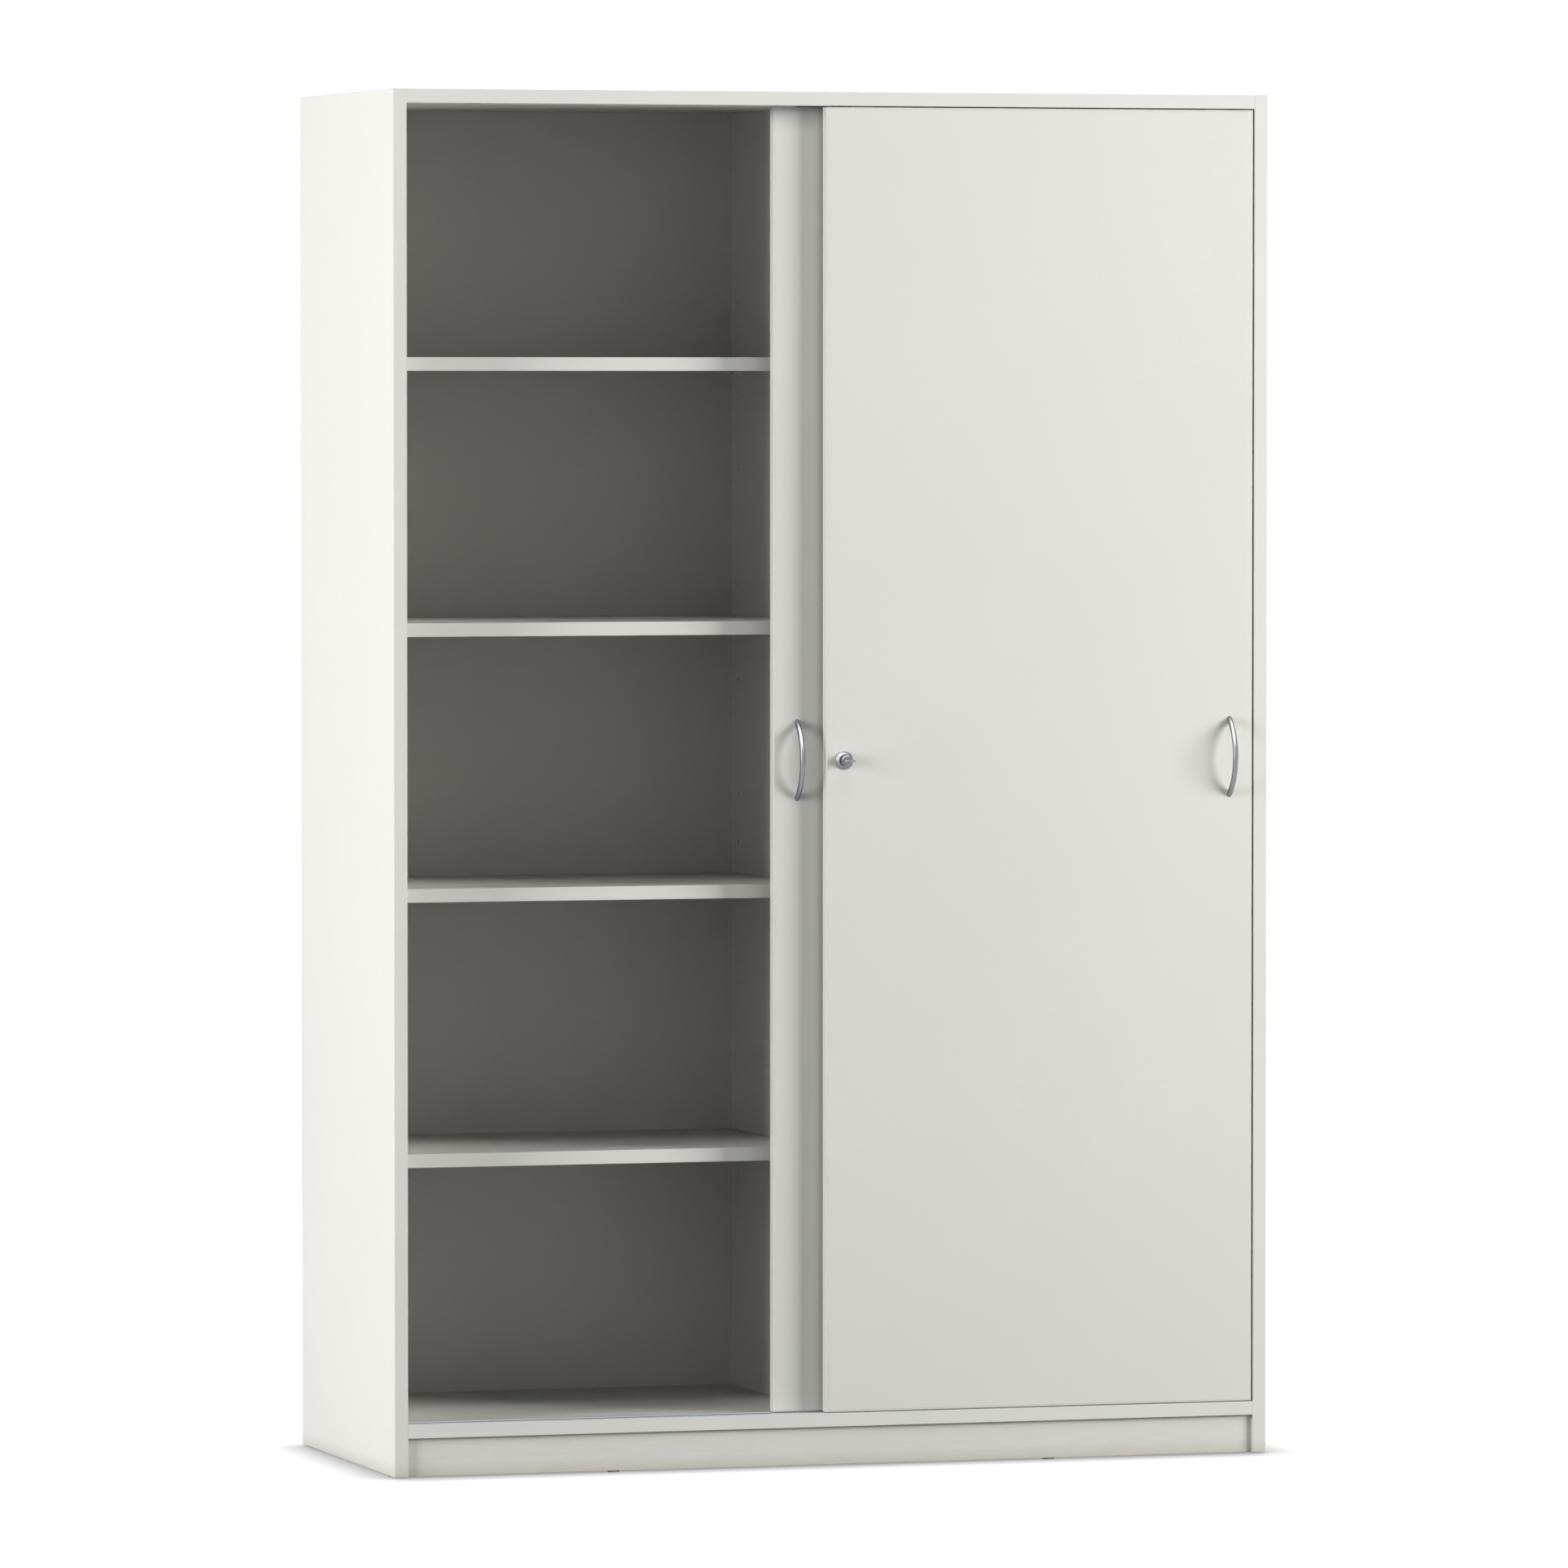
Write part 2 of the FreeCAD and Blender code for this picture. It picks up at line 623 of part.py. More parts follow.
def build_door(side, left_edge, face, handle_x, extra_cuts=()):
    """A door panel with its edge bands, handle, roller housings, axles, wheels and head guides."""
    right_edge = left_edge + door_width
    middle = left_edge + door_width / 2
    y_span = (face, face + door_thickness)
    y_middle = face + door_thickness / 2
    band = door_edge_band

    # Pockets for the running gear, open at the lower and upper edges.
    housings = []
    axles = []
    pockets = []
    for number, offset in ((1, -door_width / 2 + wheel_inset), (2, door_width / 2 - wheel_inset)):
        x = middle + offset
        axis_end = FreeCAD.Vector(x, y_middle - housing_width / 2, wheel_axis_height)
        housing_z = (door_low, door_low + housing_height)
        housing = block(around(x, housing_length), around(y_middle, housing_width), housing_z)
        well = block(around(x, 2 * wheel_radius, wheel_well_play),
                     around(y_middle, wheel_width, wheel_side_play),
                     (door_low, wheel_axis_height + wheel_radius + wheel_well_play))
        axle_hole = rod(axis_end, Y, housing_width, axle_radius + pin_clearance)
        housings.append(housing.cut([well, axle_hole]))
        axles.append(rod(axis_end, Y, housing_width, axle_radius))
        pockets.append(block(around(x, housing_length, pocket_clearance),
                             around(y_middle, housing_width, pocket_clearance), housing_z))
        wheel_start = FreeCAD.Vector(x, y_middle - wheel_width / 2, wheel_axis_height)
        keep(f"{side}_door_wheel_{number}", turned(wheel_outline, wheel_start, Y))

    guides = []
    for x in (middle - guide_offset, middle + guide_offset):
        socket_z = (door_high - guide_block_height, door_high)
        socket = block(around(x, guide_block_length), around(y_middle, guide_block_width), socket_z)
        nose = block(around(x, guide_nose_length), around(y_middle, guide_nose_width),
                     (door_high - guide_block_height / 2, head_low + guide_nose_engagement))
        guides.append(socket.fuse(nose))
        pockets.append(block(around(x, guide_block_length, pocket_clearance),
                             around(y_middle, guide_block_width, pocket_clearance), socket_z))

    screws = [handle_screw(handle_x, height, face) for height in handle_screw_heights]
    screw_holes = [handle_screw(handle_x, height, face, pin_clearance) for height in handle_screw_heights]
    core = block((left_edge + band, right_edge - band), y_span, (door_low + band, door_high - band))
    keep(f"{side}_door_panel", core.cut(pockets + screw_holes + list(extra_cuts)))

    bands = []
    for outer_edge, inner_edge in ((left_edge, left_edge + band), (right_edge, right_edge - band)):
        upright = block(sorted((outer_edge, inner_edge)), y_span, (door_low, door_high))
        bands.append(long_edges_rounded(upright, "x", outer_edge, door_edge_radius))
    for outer_edge, inner_edge in ((door_low, door_low + band), (door_high, door_high - band)):
        level = block((left_edge + band, right_edge - band), y_span, sorted((outer_edge, inner_edge)))
        bands.append(long_edges_rounded(level, "z", outer_edge, door_edge_radius).cut(pockets))
    keep(f"{side}_door_edge_bands", *bands)

    keep(f"{side}_door_handle", handle_bow(handle_x, face))
    keep(f"{side}_door_handle_screws", *screws)
    keep(f"{side}_door_roller_housings", *housings)
    keep(f"{side}_door_axles", *axles)
    keep(f"{side}_door_guides", *guides)


# ---- Lock on the right door: housing, back plate, push cylinder with bolt pin, spring, plug and key ----
lock_face = FreeCAD.Vector(lock_x, front_door_face, fittings_height)
lock_back = lock_face + Y * door_thickness
sleeve_radius = lock_cylinder_radius + pin_clearance
housing_outline = [
    (-lock_flange_height, sleeve_radius), (-lock_flange_height, lock_flange_top_radius),
    (-lock_flange_rim, lock_flange_radius), (0, lock_flange_radius), (0, lock_body_radius),
    (lock_plate_front, lock_body_radius), (lock_plate_front, sleeve_radius),
]
keep("lock_housing", turned(housing_outline, lock_face, Y))
housing_bore = rod(lock_face, Y, door_thickness, lock_body_radius + bore_clearance)


def lock_plate_box(clearance):
    """The back plate before its holes, or with a clearance the pocket for it."""
    return block(around(lock_x, lock_plate_width, clearance),
                 (lock_back.y - lock_plate_thickness, lock_back.y),
                 around(fittings_height, lock_plate_height, clearance))


plate_screw_places = [FreeCAD.Vector(lock_x, lock_back.y, height)
                      for height in around(fittings_height, lock_plate_screw_spacing)]
plate_screw_holes = [small_screw(place, -Y, small_screw_length, pin_clearance)
                     for place in plate_screw_places]
pin_hole = rod(lock_back, -Y, lock_plate_thickness, bolt_pin_radius + pin_clearance)
keep("lock_back_plate", lock_plate_box(0.0).cut(plate_screw_holes + [pin_hole]))
keep("lock_plate_screws", *[small_screw(place, -Y, small_screw_length) for place in plate_screw_places])

# The push cylinder holds the plug in a bore at its front and the spring in a pocket around the pin.
cylinder_front = lock_face - Y * lock_cylinder_projection
barrel = rod(cylinder_front, Y, lock_cylinder_projection + cylinder_inner_end, lock_cylinder_radius)
barrel_end = lock_face + Y * cylinder_inner_end
spring_pocket = rod(barrel_end, -Y, spring_pocket_depth, lock_cylinder_radius - spring_pocket_wall)
plug_bore = rod(cylinder_front, Y, plug_length + bore_clearance, plug_radius + pin_clearance)
pin_length = lock_back.y - bolt_pin_recess - barrel_end.y + spring_pocket_depth
bolt_pin = rod(barrel_end - Y * spring_pocket_depth, Y, pin_length, bolt_pin_radius)
keep("lock_cylinder", barrel.cut([spring_pocket, plug_bore]).fuse(bolt_pin))

# The spring's wire is a many-sided section swept along a helix, square to the helix at its start.
spring_start = barrel_end - Y * (spring_pocket_depth - spring_wire_radius)
spring_space = lock_plate_front - cylinder_inner_end + spring_pocket_depth
spring_height = spring_space - 2 * spring_wire_radius
spring_pitch = spring_height / spring_turns
pocket_radius = lock_cylinder_radius - spring_pocket_wall
spring_radius = (bolt_pin_radius + pocket_radius) / 2
along_wire = FreeCAD.Vector(0, math.tau * spring_radius, spring_pitch)
wire_corners = []
for step in range(spring_wire_sides + 1):
    turn = FreeCAD.Rotation(along_wire, math.degrees(math.tau * step / spring_wire_sides))
    wire_corners.append(X * spring_radius + turn.multVec(X * spring_wire_radius))
helix = Part.makeHelix(spring_pitch, spring_height, spring_radius)
coil = Part.Wire(helix.Edges).makePipeShell([Part.makePolygon(wire_corners)], True, True)
coil.Placement = FreeCAD.Placement(spring_start, FreeCAD.Rotation(Z, Y))
keep("lock_spring", coil)

key_slot = block(around(lock_x, key_blade_width, key_slot_play),
                 (cylinder_front.y, cylinder_front.y + key_blade_depth + key_slot_play),
                 around(fittings_height, key_blade_thickness, key_slot_play))
keep("lock_plug", rod(cylinder_front, Y, plug_length, plug_radius).cut(key_slot))

# The key's bow is a flat plate with round corners and a hole for a ring.
bow_near = cylinder_front.y - key_neck
bow_tip = bow_near - key_bow_length
bow_low, bow_high = around(fittings_height, key_bow_thickness)
bow_plate = block(around(lock_x, key_bow_width), (bow_tip, bow_near), (bow_low, bow_high))
bow_corners = [edge for edge in bow_plate.Edges
               if abs(edge.Length - key_bow_thickness) < coordinate_tolerance]
ring_hole = rod(FreeCAD.Vector(lock_x, bow_tip + key_ring_hole_inset, bow_low), Z,
                key_bow_thickness, key_ring_hole_radius)
bow = bow_plate.makeFillet(key_bow_corner_radius, bow_corners).cut(ring_hole)
blade = block(around(lock_x, key_blade_width),
              (bow_near - key_blade_start_in_bow, cylinder_front.y + key_blade_depth),
              around(fittings_height, key_blade_thickness))
keep("key", bow.fuse(blade))

build_door("right", right_door_left, front_door_face, inner - door_side_gap - handle_inset,
           [housing_bore, lock_plate_box(pocket_clearance)] + plate_screw_holes)

# ---- Keeper on the left door: the pushed-in pin stands just to its right when both doors are shut ----
keeper_right = lock_x - bolt_pin_radius - keeper_pin_gap + door_travel
keeper_face = rear_door_face - keeper_proud
keeper_block = block((keeper_right - keeper_width, keeper_right), (keeper_face, rear_door_face),
                     around(fittings_height, keeper_height))
keeper_chamfered = keeper_block.makeChamfer(keeper_chamfer, edges_in_plane(keeper_block, "y", keeper_face))
keeper_screw_places = [FreeCAD.Vector(keeper_right - keeper_width / 2, keeper_face, height)
                       for height in around(fittings_height, keeper_screw_spacing)]
keeper_screw_length = keeper_proud + small_screw_length
keeper_screw_holes = [small_screw(place, Y, keeper_screw_length, pin_clearance)
                      for place in keeper_screw_places]
keep("lock_keeper", keeper_chamfered.cut(keeper_screw_holes))
keep("lock_keeper_screws", *[small_screw(place, Y, keeper_screw_length) for place in keeper_screw_places])

build_door("left", left_door_open, rear_door_face, left_door_open + handle_inset, keeper_screw_holes)

# ---- Files ----
os.makedirs("parts", exist_ok=True)
for name, shape in nodes.items():
    shape.exportStep(f"parts/{name}.step")
print(len(nodes), "nodes; door travel", round(door_travel, 3))
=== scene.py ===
"""Looks of a white sliding door cabinet: boards, bands, running gear, handles, lock and fittings."""

import math

import bmesh
import bpy
import numpy as np
from bpy.props import FloatProperty, FloatVectorProperty, IntProperty, PointerProperty
from bpy.types import NodeSocket, Operator, Panel, PropertyGroup, Scene
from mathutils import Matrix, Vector


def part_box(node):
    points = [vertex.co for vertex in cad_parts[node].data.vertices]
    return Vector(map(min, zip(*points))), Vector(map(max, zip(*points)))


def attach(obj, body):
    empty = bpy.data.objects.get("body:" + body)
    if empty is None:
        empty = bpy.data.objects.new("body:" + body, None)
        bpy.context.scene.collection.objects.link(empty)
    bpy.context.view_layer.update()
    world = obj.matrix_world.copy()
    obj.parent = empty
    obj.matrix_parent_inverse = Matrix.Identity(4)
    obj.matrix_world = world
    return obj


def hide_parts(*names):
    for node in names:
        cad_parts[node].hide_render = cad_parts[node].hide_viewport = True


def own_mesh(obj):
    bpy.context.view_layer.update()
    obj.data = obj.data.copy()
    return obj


bl_info = {
    "name": "Sliding door cabinet",
    "version": (1, 0, 0),
    "blender": (4, 5, 0),
    "location": "View3D > Sidebar > Cabinet",
    "description": "Dresses the fixed frame of a sliding door cabinet with its finishes and fittings",
    "category": "Object",
}

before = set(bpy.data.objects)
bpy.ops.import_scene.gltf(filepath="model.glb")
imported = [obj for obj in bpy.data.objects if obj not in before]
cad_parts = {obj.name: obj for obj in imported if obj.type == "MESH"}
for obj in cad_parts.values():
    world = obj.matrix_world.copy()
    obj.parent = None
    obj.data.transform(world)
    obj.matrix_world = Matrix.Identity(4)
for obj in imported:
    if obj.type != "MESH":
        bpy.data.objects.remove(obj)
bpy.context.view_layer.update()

MM = 0.001
FULL_TURN = math.tau
MERGE_DISTANCE = 1e-7
SHARP_ANGLE = math.radians(32)
BLACK, WHITE = (0.0, 0.0, 0.0, 1.0), (1.0, 1.0, 1.0, 1.0)
GRAINS, CLOUDS = (0.3, 0.7), (0.35, 0.65)  # the spans of a noise's values that grains and clouds use
X, Y, Z = Vector((1, 0, 0)), Vector((0, 1, 0)), Vector((0, 0, 1))

DOORS = ("right_door", "left_door")
SHELVES = [f"shelf_{bay}_{number}" for bay in ("left", "right") for number in range(1, 5)]
INSIDE_BOARDS = SHELVES + ["centre_partition", "back_panel"]
OUTSIDE_BOARDS = ["side_panel_left", "side_panel_right", "top_panel", "bottom_panel"]
PLINTHS = ["plinth_front", "plinth_rear"]
POLISHED = [f"{door}_bow_handle" for door in DOORS] + ["lock_flange", "push_cylinder", "turned_key"]
BANDS = ["side_edge_bands", "top_edge_band", "bottom_edge_band", "partition_edge_band",
         "shelf_edge_bands"]


def corners(node):
    """A node's lowest and highest corner as two arrays, in metres."""
    low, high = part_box(node)
    return np.array(low), np.array(high)


handle_low, handle_high = corners("right_door_handle")
door_face = corners("right_door_panel")[0][1]
rear_door_low, rear_door_high = corners("left_door_edge_bands")
flange_low, flange_high = corners("lock_housing")


# ---- sizes and colours

def length(name, description, default):
    """A length property in metres."""
    return FloatProperty(name=name, description=description, default=float(default), min=0.0,
                         precision=4, subtype="DISTANCE", unit="LENGTH")


def screw_sizes(name, shank, head, depth):
    """The sizes of a kind of screw as one property, given in millimetres."""
    return FloatVectorProperty(name=name, description="Radius of shank, radius of head, depth of head",
                               default=(shank * MM, head * MM, depth * MM), min=0.0, precision=4,
                               size=3, subtype="XYZ_LENGTH", unit="LENGTH")


def share(name, description, default):
    """A property between nought and one."""
    return FloatProperty(name=name, description=description, default=default, min=0.0, max=1.0,
                         subtype="FACTOR")


def whole_number(name, description, default, least):
    """A whole number."""
    return IntProperty(name=name, description=description, default=default, min=least)


def power(name, description, default):
    """The power of a lamp in watts."""
    return FloatProperty(name=name, description=description, default=default, min=0.0, unit="POWER")


def colour(name, description, default):
    """A colour property."""
    return FloatVectorProperty(name=name, description=description, default=default, min=0.0, max=1.0,
                               size=3, subtype="COLOR")


def angle(name, description, degrees):
    """An angle property, given in degrees."""
    return FloatProperty(name=name, description=description, default=math.radians(degrees),
                         subtype="ANGLE", unit="ROTATION")


class BoardLook(PropertyGroup):
    """Colours and surface of the melamine boards and their edge bands."""
    board: colour("Board", "White of the melamine face", (0.805, 0.80, 0.745))
    shade: colour("Board shade", "Slightly darker white that clouds the face", (0.78, 0.775, 0.72))
    # the warmer inside white is a painted tint matching the colour of the shade inside; the boards are
    # the same melamine
    inside: colour("Inside board", "White of the boards inside, a hair warmer", (0.825, 0.80, 0.75))
    band: colour("Edge band", "White of the edge bands", (0.79, 0.785, 0.735))
    # this tint colours the scuffs and worn edges, and also the painted shade at the foot of boards and
    # bands
    scuff_and_shade: colour("Scuff", "Tint of the marks near the floor and on worn edges", (0.62, 0.58, 0.50))
    cloud: length("Cloud size", "Size of the slow changes of shade", 0.35)
    speckle: length("Speckle size", "Size of the fine speckle of the printed paper", 0.004)
    pearl: length("Pearl size", "Size of the fine pearl of the pressed face", 0.0011)
    pearl_depth: length("Pearl depth", "Depth of the fine pearl", 0.00003)
    roughness: share("Roughness", "Roughness of the melamine face", 0.46)
    band_roughness: share("Band roughness", "Roughness of the edge bands", 0.36)
    scuff_height: length("Scuff height", "Height above the floor up to which scuffs reach", 0.06)
    # painted shade at the foot: boards and bands darken towards the floor over this height, by this share
    foot_shade_height: length("Dust height", "Height above the floor up to which floor dust clings", 0.020)
    foot_shade: share("Foot_shade", "How much the dust hides the white at the very foot", 0.75)
    edge: length("Edge radius", "Radius over which an edge catches light and wears", 0.0012)
    # painted shade on the rear door just under the top board: its darkest share and how far down it
    # reaches
    under_shade: share("Tucked shade", "How much darker the rear door is right under the top board", 0.62)
    under_shade_reach: length("Tucked reach", "How far that shade reaches down the rear door", 0.025)
    # painted shade on the doors' narrow faces: how much darker they are painted than the front
    narrow: share("Narrow faces", "How much darker a door's narrow faces are than its front", 0.17)


class FittingLook(PropertyGroup):
    """Colours of metals, plastics and wood."""
    satin: colour("Satin steel", "Handles, lock and key", (0.275, 0.28, 0.29))
    aluminium: colour("Aluminium", "Brushed running tracks", (0.80, 0.825, 0.85))
    zinc: colour("Zinc", "Screws, cams, pins and plates", (0.60, 0.60, 0.58))
    plastic: colour("Grey plastic", "Wheels, housings, guides and stops", (0.20, 0.205, 0.21))
    glide: colour("Glide plastic", "Floor glides", (0.28, 0.28, 0.275))
    beech: colour("Beech", "Dowels", (0.52, 0.36, 0.21))
    beech_dark: colour("Beech grain", "Darker lines of the dowels", (0.36, 0.22, 0.12))
    satin_roughness: share("Satin roughness", "Roughness of the satin steel", 0.27)
    brush: length("Brush line", "Width of the brushed lines", 0.0004)


class HandleSizes(PropertyGroup):
    """Sizes of the two bow handles."""
    bar: length("Bar", "Diameter of the round bar", handle_high[0] - handle_low[0])
    height: length("Height", "Height of a handle over its feet", handle_high[2] - handle_low[2])
    reach: length("Reach", "Distance from the door's face to the bow's front", door_face - handle_low[1])
    around: whole_number("Points around", "Points around the bar", 40, 8)
    along: whole_number("Points along", "Points along the bow", 96, 8)


class LockSizes(PropertyGroup):
    """Sizes of the lock's turned parts and of its key."""
    rim: length("Flange rim", "Thickness of the flange at its rim", 1.2 * MM)
    nose: length("Flange nose", "Radius of the flange at its front", 8.6 * MM)
    neck: length("Sleeve", "Radius of the sleeve behind the flange", 9.5 * MM)
    play: length("Play", "Gap between the sleeve and the cylinder", 0.1 * MM)
    easing: length("Easing", "Rounding of the turned edges", 0.35 * MM)
    wall: length("Cylinder wall", "Wall around the spring pocket", 1.0 * MM)
    pocket: length("Spring pocket", "Depth of the spring pocket", 6.0 * MM)
    key_hole: length("Ring hole", "Radius of the key's ring hole", 2.6 * MM)
    key_hole_inset: length("Ring hole inset", "From the bow's tip to the ring hole's middle", 5.5 * MM)
    key_corner: length("Bow corner", "Corner radius of the key's bow", 6.5 * MM)
    key_bow: length("Bow length", "Length of the key's bow", 16.4 * MM)
    wire: length("Spring wire", "Radius of the spring's wire", 0.35 * MM)
    turns: FloatProperty(name="Spring turns", description="Turns of the lock's spring", default=6.0,
                         min=1.0)
    travel: length("Push travel", "How far the cylinder is pushed in", 7.0 * MM)
    blade: length("Blade width", "Width of the key's blade", 7.0 * MM)
    blade_thick: length("Blade thickness", "Thickness of the key's blade", 1.5 * MM)
    blade_root: length("Blade root", "Length of the blade inside the bow", 4.0 * MM)


class FastenerSizes(PropertyGroup):
    """Sizes of screws and cams."""
    wood: screw_sizes("Wood screws", 1.8, 3.6, 2.0)
    grip: screw_sizes("Handle screws", 2.0, 3.8, 2.4)
    small: screw_sizes("Lock screws", 1.2, 2.5, 1.3)
    track_screw: length("Track screw length", "Length of the screws through the tracks", 15.0 * MM)
    cam: length("Cam", "Radius of a cam", 7.4 * MM)
    cam_depth: length("Cam depth", "Depth of a cam", 12.5 * MM)
    cam_cap: length("Cam cap", "Thickness of a cam's cap over the bolt", 4.6 * MM)
    cam_wall: length("Cam wall", "Thickness of a cam's wall", 1.3 * MM)
    cam_height: length("Partition cam height", "Distance of a partition cam from its board", 34.0 * MM)


class StageLook(PropertyGroup):
    """Camera, lamps and floor."""
    lens: FloatProperty(name="Lens", description="Focal length in millimetres", default=253.5, min=1.0,
                        unit="CAMERA")
    eye: FloatVectorProperty(name="Eye", description="Place of the camera", size=3,
                             default=(-4.2844, -14.0803, 1.4291), subtype="TRANSLATION", unit="LENGTH")
    dip: angle("Dip", "How far the camera looks down", 2.093)
    swing: angle("Swing", "How far the camera is turned from looking straight at the back", 16.917)
    left_power: power("Left lamp", "Power of the left lamp", 212.0)
    right_power: power("Right lamp", "Power of the right lamp", 282.0)
    front_power: power("Front lamp", "Power of the lamp over the doors", 12.0)
    fill_power: power("Fill lamp", "Power of the weak lamp that reaches the partition", 10.2)
    side_power: power("Side lamp", "Power of the lamp high on the left, towards the rear", 27.0)
    rear_power: power("Rear lamp", "Power of the lamp behind", 150.0)
    top_power: power("Top lamp", "Power of the lamp over the top board", 56.0)
    strip_power: power("Strip", "Power of the wide lamp overhead, for polished metal only", 340.0)
    panel_power: power("Panel", "Power of the wide lamp on the left, for polished metal only", 104.0)
    ambient: share("Ambient", "Strength of the light from all round", 0.02)
    bounces: whole_number("Bounces", "Times that light passes on between matt faces", 1, 0)
    floor: colour("Floor", "Colour of the floor", (0.14, 0.14, 0.14))
    # the glow left at the darkest of the floor's painted contact shadow
    floor_glow: share("Floor glow", "White that the floor shows where it meets the object", 0.40)


# ---- surfaces

def grid_faces(rows, columns, wrap_rows, wrap_columns):
    """Quads between neighbours in a grid; a wrapped direction joins its last line to its first."""
    row = np.arange(rows if wrap_rows else rows - 1)[:, None]
    column = np.arange(columns if wrap_columns else columns - 1)[None, :]
    next_row, next_column = (row + 1) % rows, (column + 1) % columns
    around = (row * columns + column, row * columns + next_column,
              next_row * columns + next_column, next_row * columns + column)
    return np.stack(np.broadcast_arrays(*around), axis=-1).reshape(-1, 4)


def piece(name, surfaces, finish, body, slot, *nodes):
    """A mesh object made of closed surfaces, each (points, wrap rows, wrap columns).

    Points that meet at a pole or seam are merged, faces are turned outwards, and edges sharper than
    SHARP_ANGLE stay sharp. The piece rides on a body and stands for the given nodes.
    """
    points, faces, start = [], [], 0
    for grid, wrap_rows, wrap_columns in surfaces:
        rows, columns = grid.shape[:2]
        points.append(grid.reshape(-1, 3))
        faces.append(grid_faces(rows, columns, wrap_rows, wrap_columns) + start)
        start += rows * columns
    mesh = bpy.data.meshes.new(name)
    mesh.from_pydata(np.concatenate(points), [], np.concatenate(faces).tolist())
    shape = bmesh.new()
    shape.from_mesh(mesh)
    bmesh.ops.remove_doubles(shape, verts=shape.verts, dist=MERGE_DISTANCE)
    bmesh.ops.dissolve_degenerate(shape, edges=shape.edges, dist=MERGE_DISTANCE)
    bmesh.ops.recalc_face_normals(shape, faces=shape.faces)
    shape.to_mesh(mesh)
    shape.free()
    mesh.shade_smooth()
    mesh.set_sharp_from_angle(angle=SHARP_ANGLE)
    mesh.materials.append(finish)
    made = bpy.data.objects.new(name, mesh)
    bpy.context.scene.collection.objects.link(made)
    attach(made, body)
    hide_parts(*nodes)
    return made


def eased(outline, easing, steps=4, most=0.45):
    """An open outline of (distance, radius) points with each inner corner rounded.

    Each corner becomes a quadratic curve: (1-t)^2 a + 2t(1-t) corner + t^2 b, where a and b lie on the
    two sides at the easing's distance, but no further along a side than the share called most.
    """
    outline = np.asarray(outline, float)
    before, corner, after = outline[:-2], outline[1:-1], outline[2:]
    t = np.linspace(0.0, 1.0, steps + 1)[None, :, None]

    def towards(other):
        """The point on the side to a neighbour where the rounding starts."""
        side = other - corner
        size = np.linalg.norm(side, axis=1, keepdims=True)
        return corner + side / size * np.minimum(easing, most * size)

    a, b = towards(before)[:, None], towards(after)[:, None]
    rounds = (1 - t) ** 2 * a + 2 * t * (1 - t) * corner[:, None] + t ** 2 * b
    return np.concatenate([outline[:1], rounds.reshape(-1, 2), outline[-1:]])


def frame_of(axis):
    """An axis and two directions square to it and to each other, all of unit length."""
    axis = Vector(axis).normalized()
    upright = abs(axis.z) > 0.5
    side = (X if upright else Z).cross(axis).normalized()
    return np.array(axis), np.array(side), np.array(axis.cross(side))


def round_axis(start, directions, depth, radius, v):
    """A surface round an axis: start + depth * axis + radius * (cos v * side + sin v * up)."""
    axis, side, up = directions
    ring = np.cos(v)[:, None] * side + np.sin(v)[:, None] * up
    return np.asarray(start) + depth[..., None] * axis + radius[..., None] * ring, False, True


def turned(outline, start, axis, columns):
    """A surface of revolution whose outline holds (depth, radius) points."""
    v = np.arange(columns) * FULL_TURN / columns
    depth, radius = np.asarray(outline, float).T[..., None]
    return round_axis(start, frame_of(axis), depth, radius, v)


def tube(x, y, z):
    """A tube of rings of points, closed at each end by the middle of its last ring."""
    rings = np.stack(np.broadcast_arrays(x, y, z), axis=-1)
    ends = [np.broadcast_to(ring.mean(axis=0), (1,) + ring.shape) for ring in (rings[0], rings[-1])]
    return np.concatenate([ends[0], rings, ends[1]]), False, True


def smooth_step(value, low, high):
    """Nought below low, one above high, and t*t*(3-2t) at the share t of the way between."""
    t = np.clip((value - low) / (high - low), 0.0, 1.0)
    return t * t * (3 - 2 * t)


def bow(middle, face, sizes):
    """A round bar bent to an arc whose feet end in the door's face.

    The arc's centre lies behind the face. A section point at angle v is at radius R + r cos v from that
    centre, and runs from -w to w, where cos w = depth / (R + r cos v), so both ends lie in the face.
    """
    radius, half = sizes.bar / 2, sizes.height / 2
    outer = (half ** 2 + sizes.reach ** 2) / (2 * sizes.reach)
    depth = outer - sizes.reach
    v = np.arange(sizes.around) * FULL_TURN / sizes.around
    away = outer - radius + radius * np.cos(v)
    along = np.linspace(-1.0, 1.0, sizes.along)[:, None] * np.arccos(depth / away)
    return tube(middle[0] + radius * np.sin(v), face + depth - away * np.cos(along),
                middle[1] + away * np.sin(along))


def cross_recess(radius, v, deep, wall, end):
    """The depth of a cross recess at a radius and an angle v.

    It is deep * (1 - s(a, wall)) * (1 - s(b, end)), where a is the smaller and b the larger of
    |radius cos v| and |radius sin v|, and s is a smooth step over the span of a slot's wall or end.
    """
    across, over = np.abs(radius * np.cos(v)), np.abs(radius * np.sin(v))
    near, far = np.minimum(across, over), np.maximum(across, over)
    return deep * (1 - smooth_step(near, *wall)) * (1 - smooth_step(far, *end))


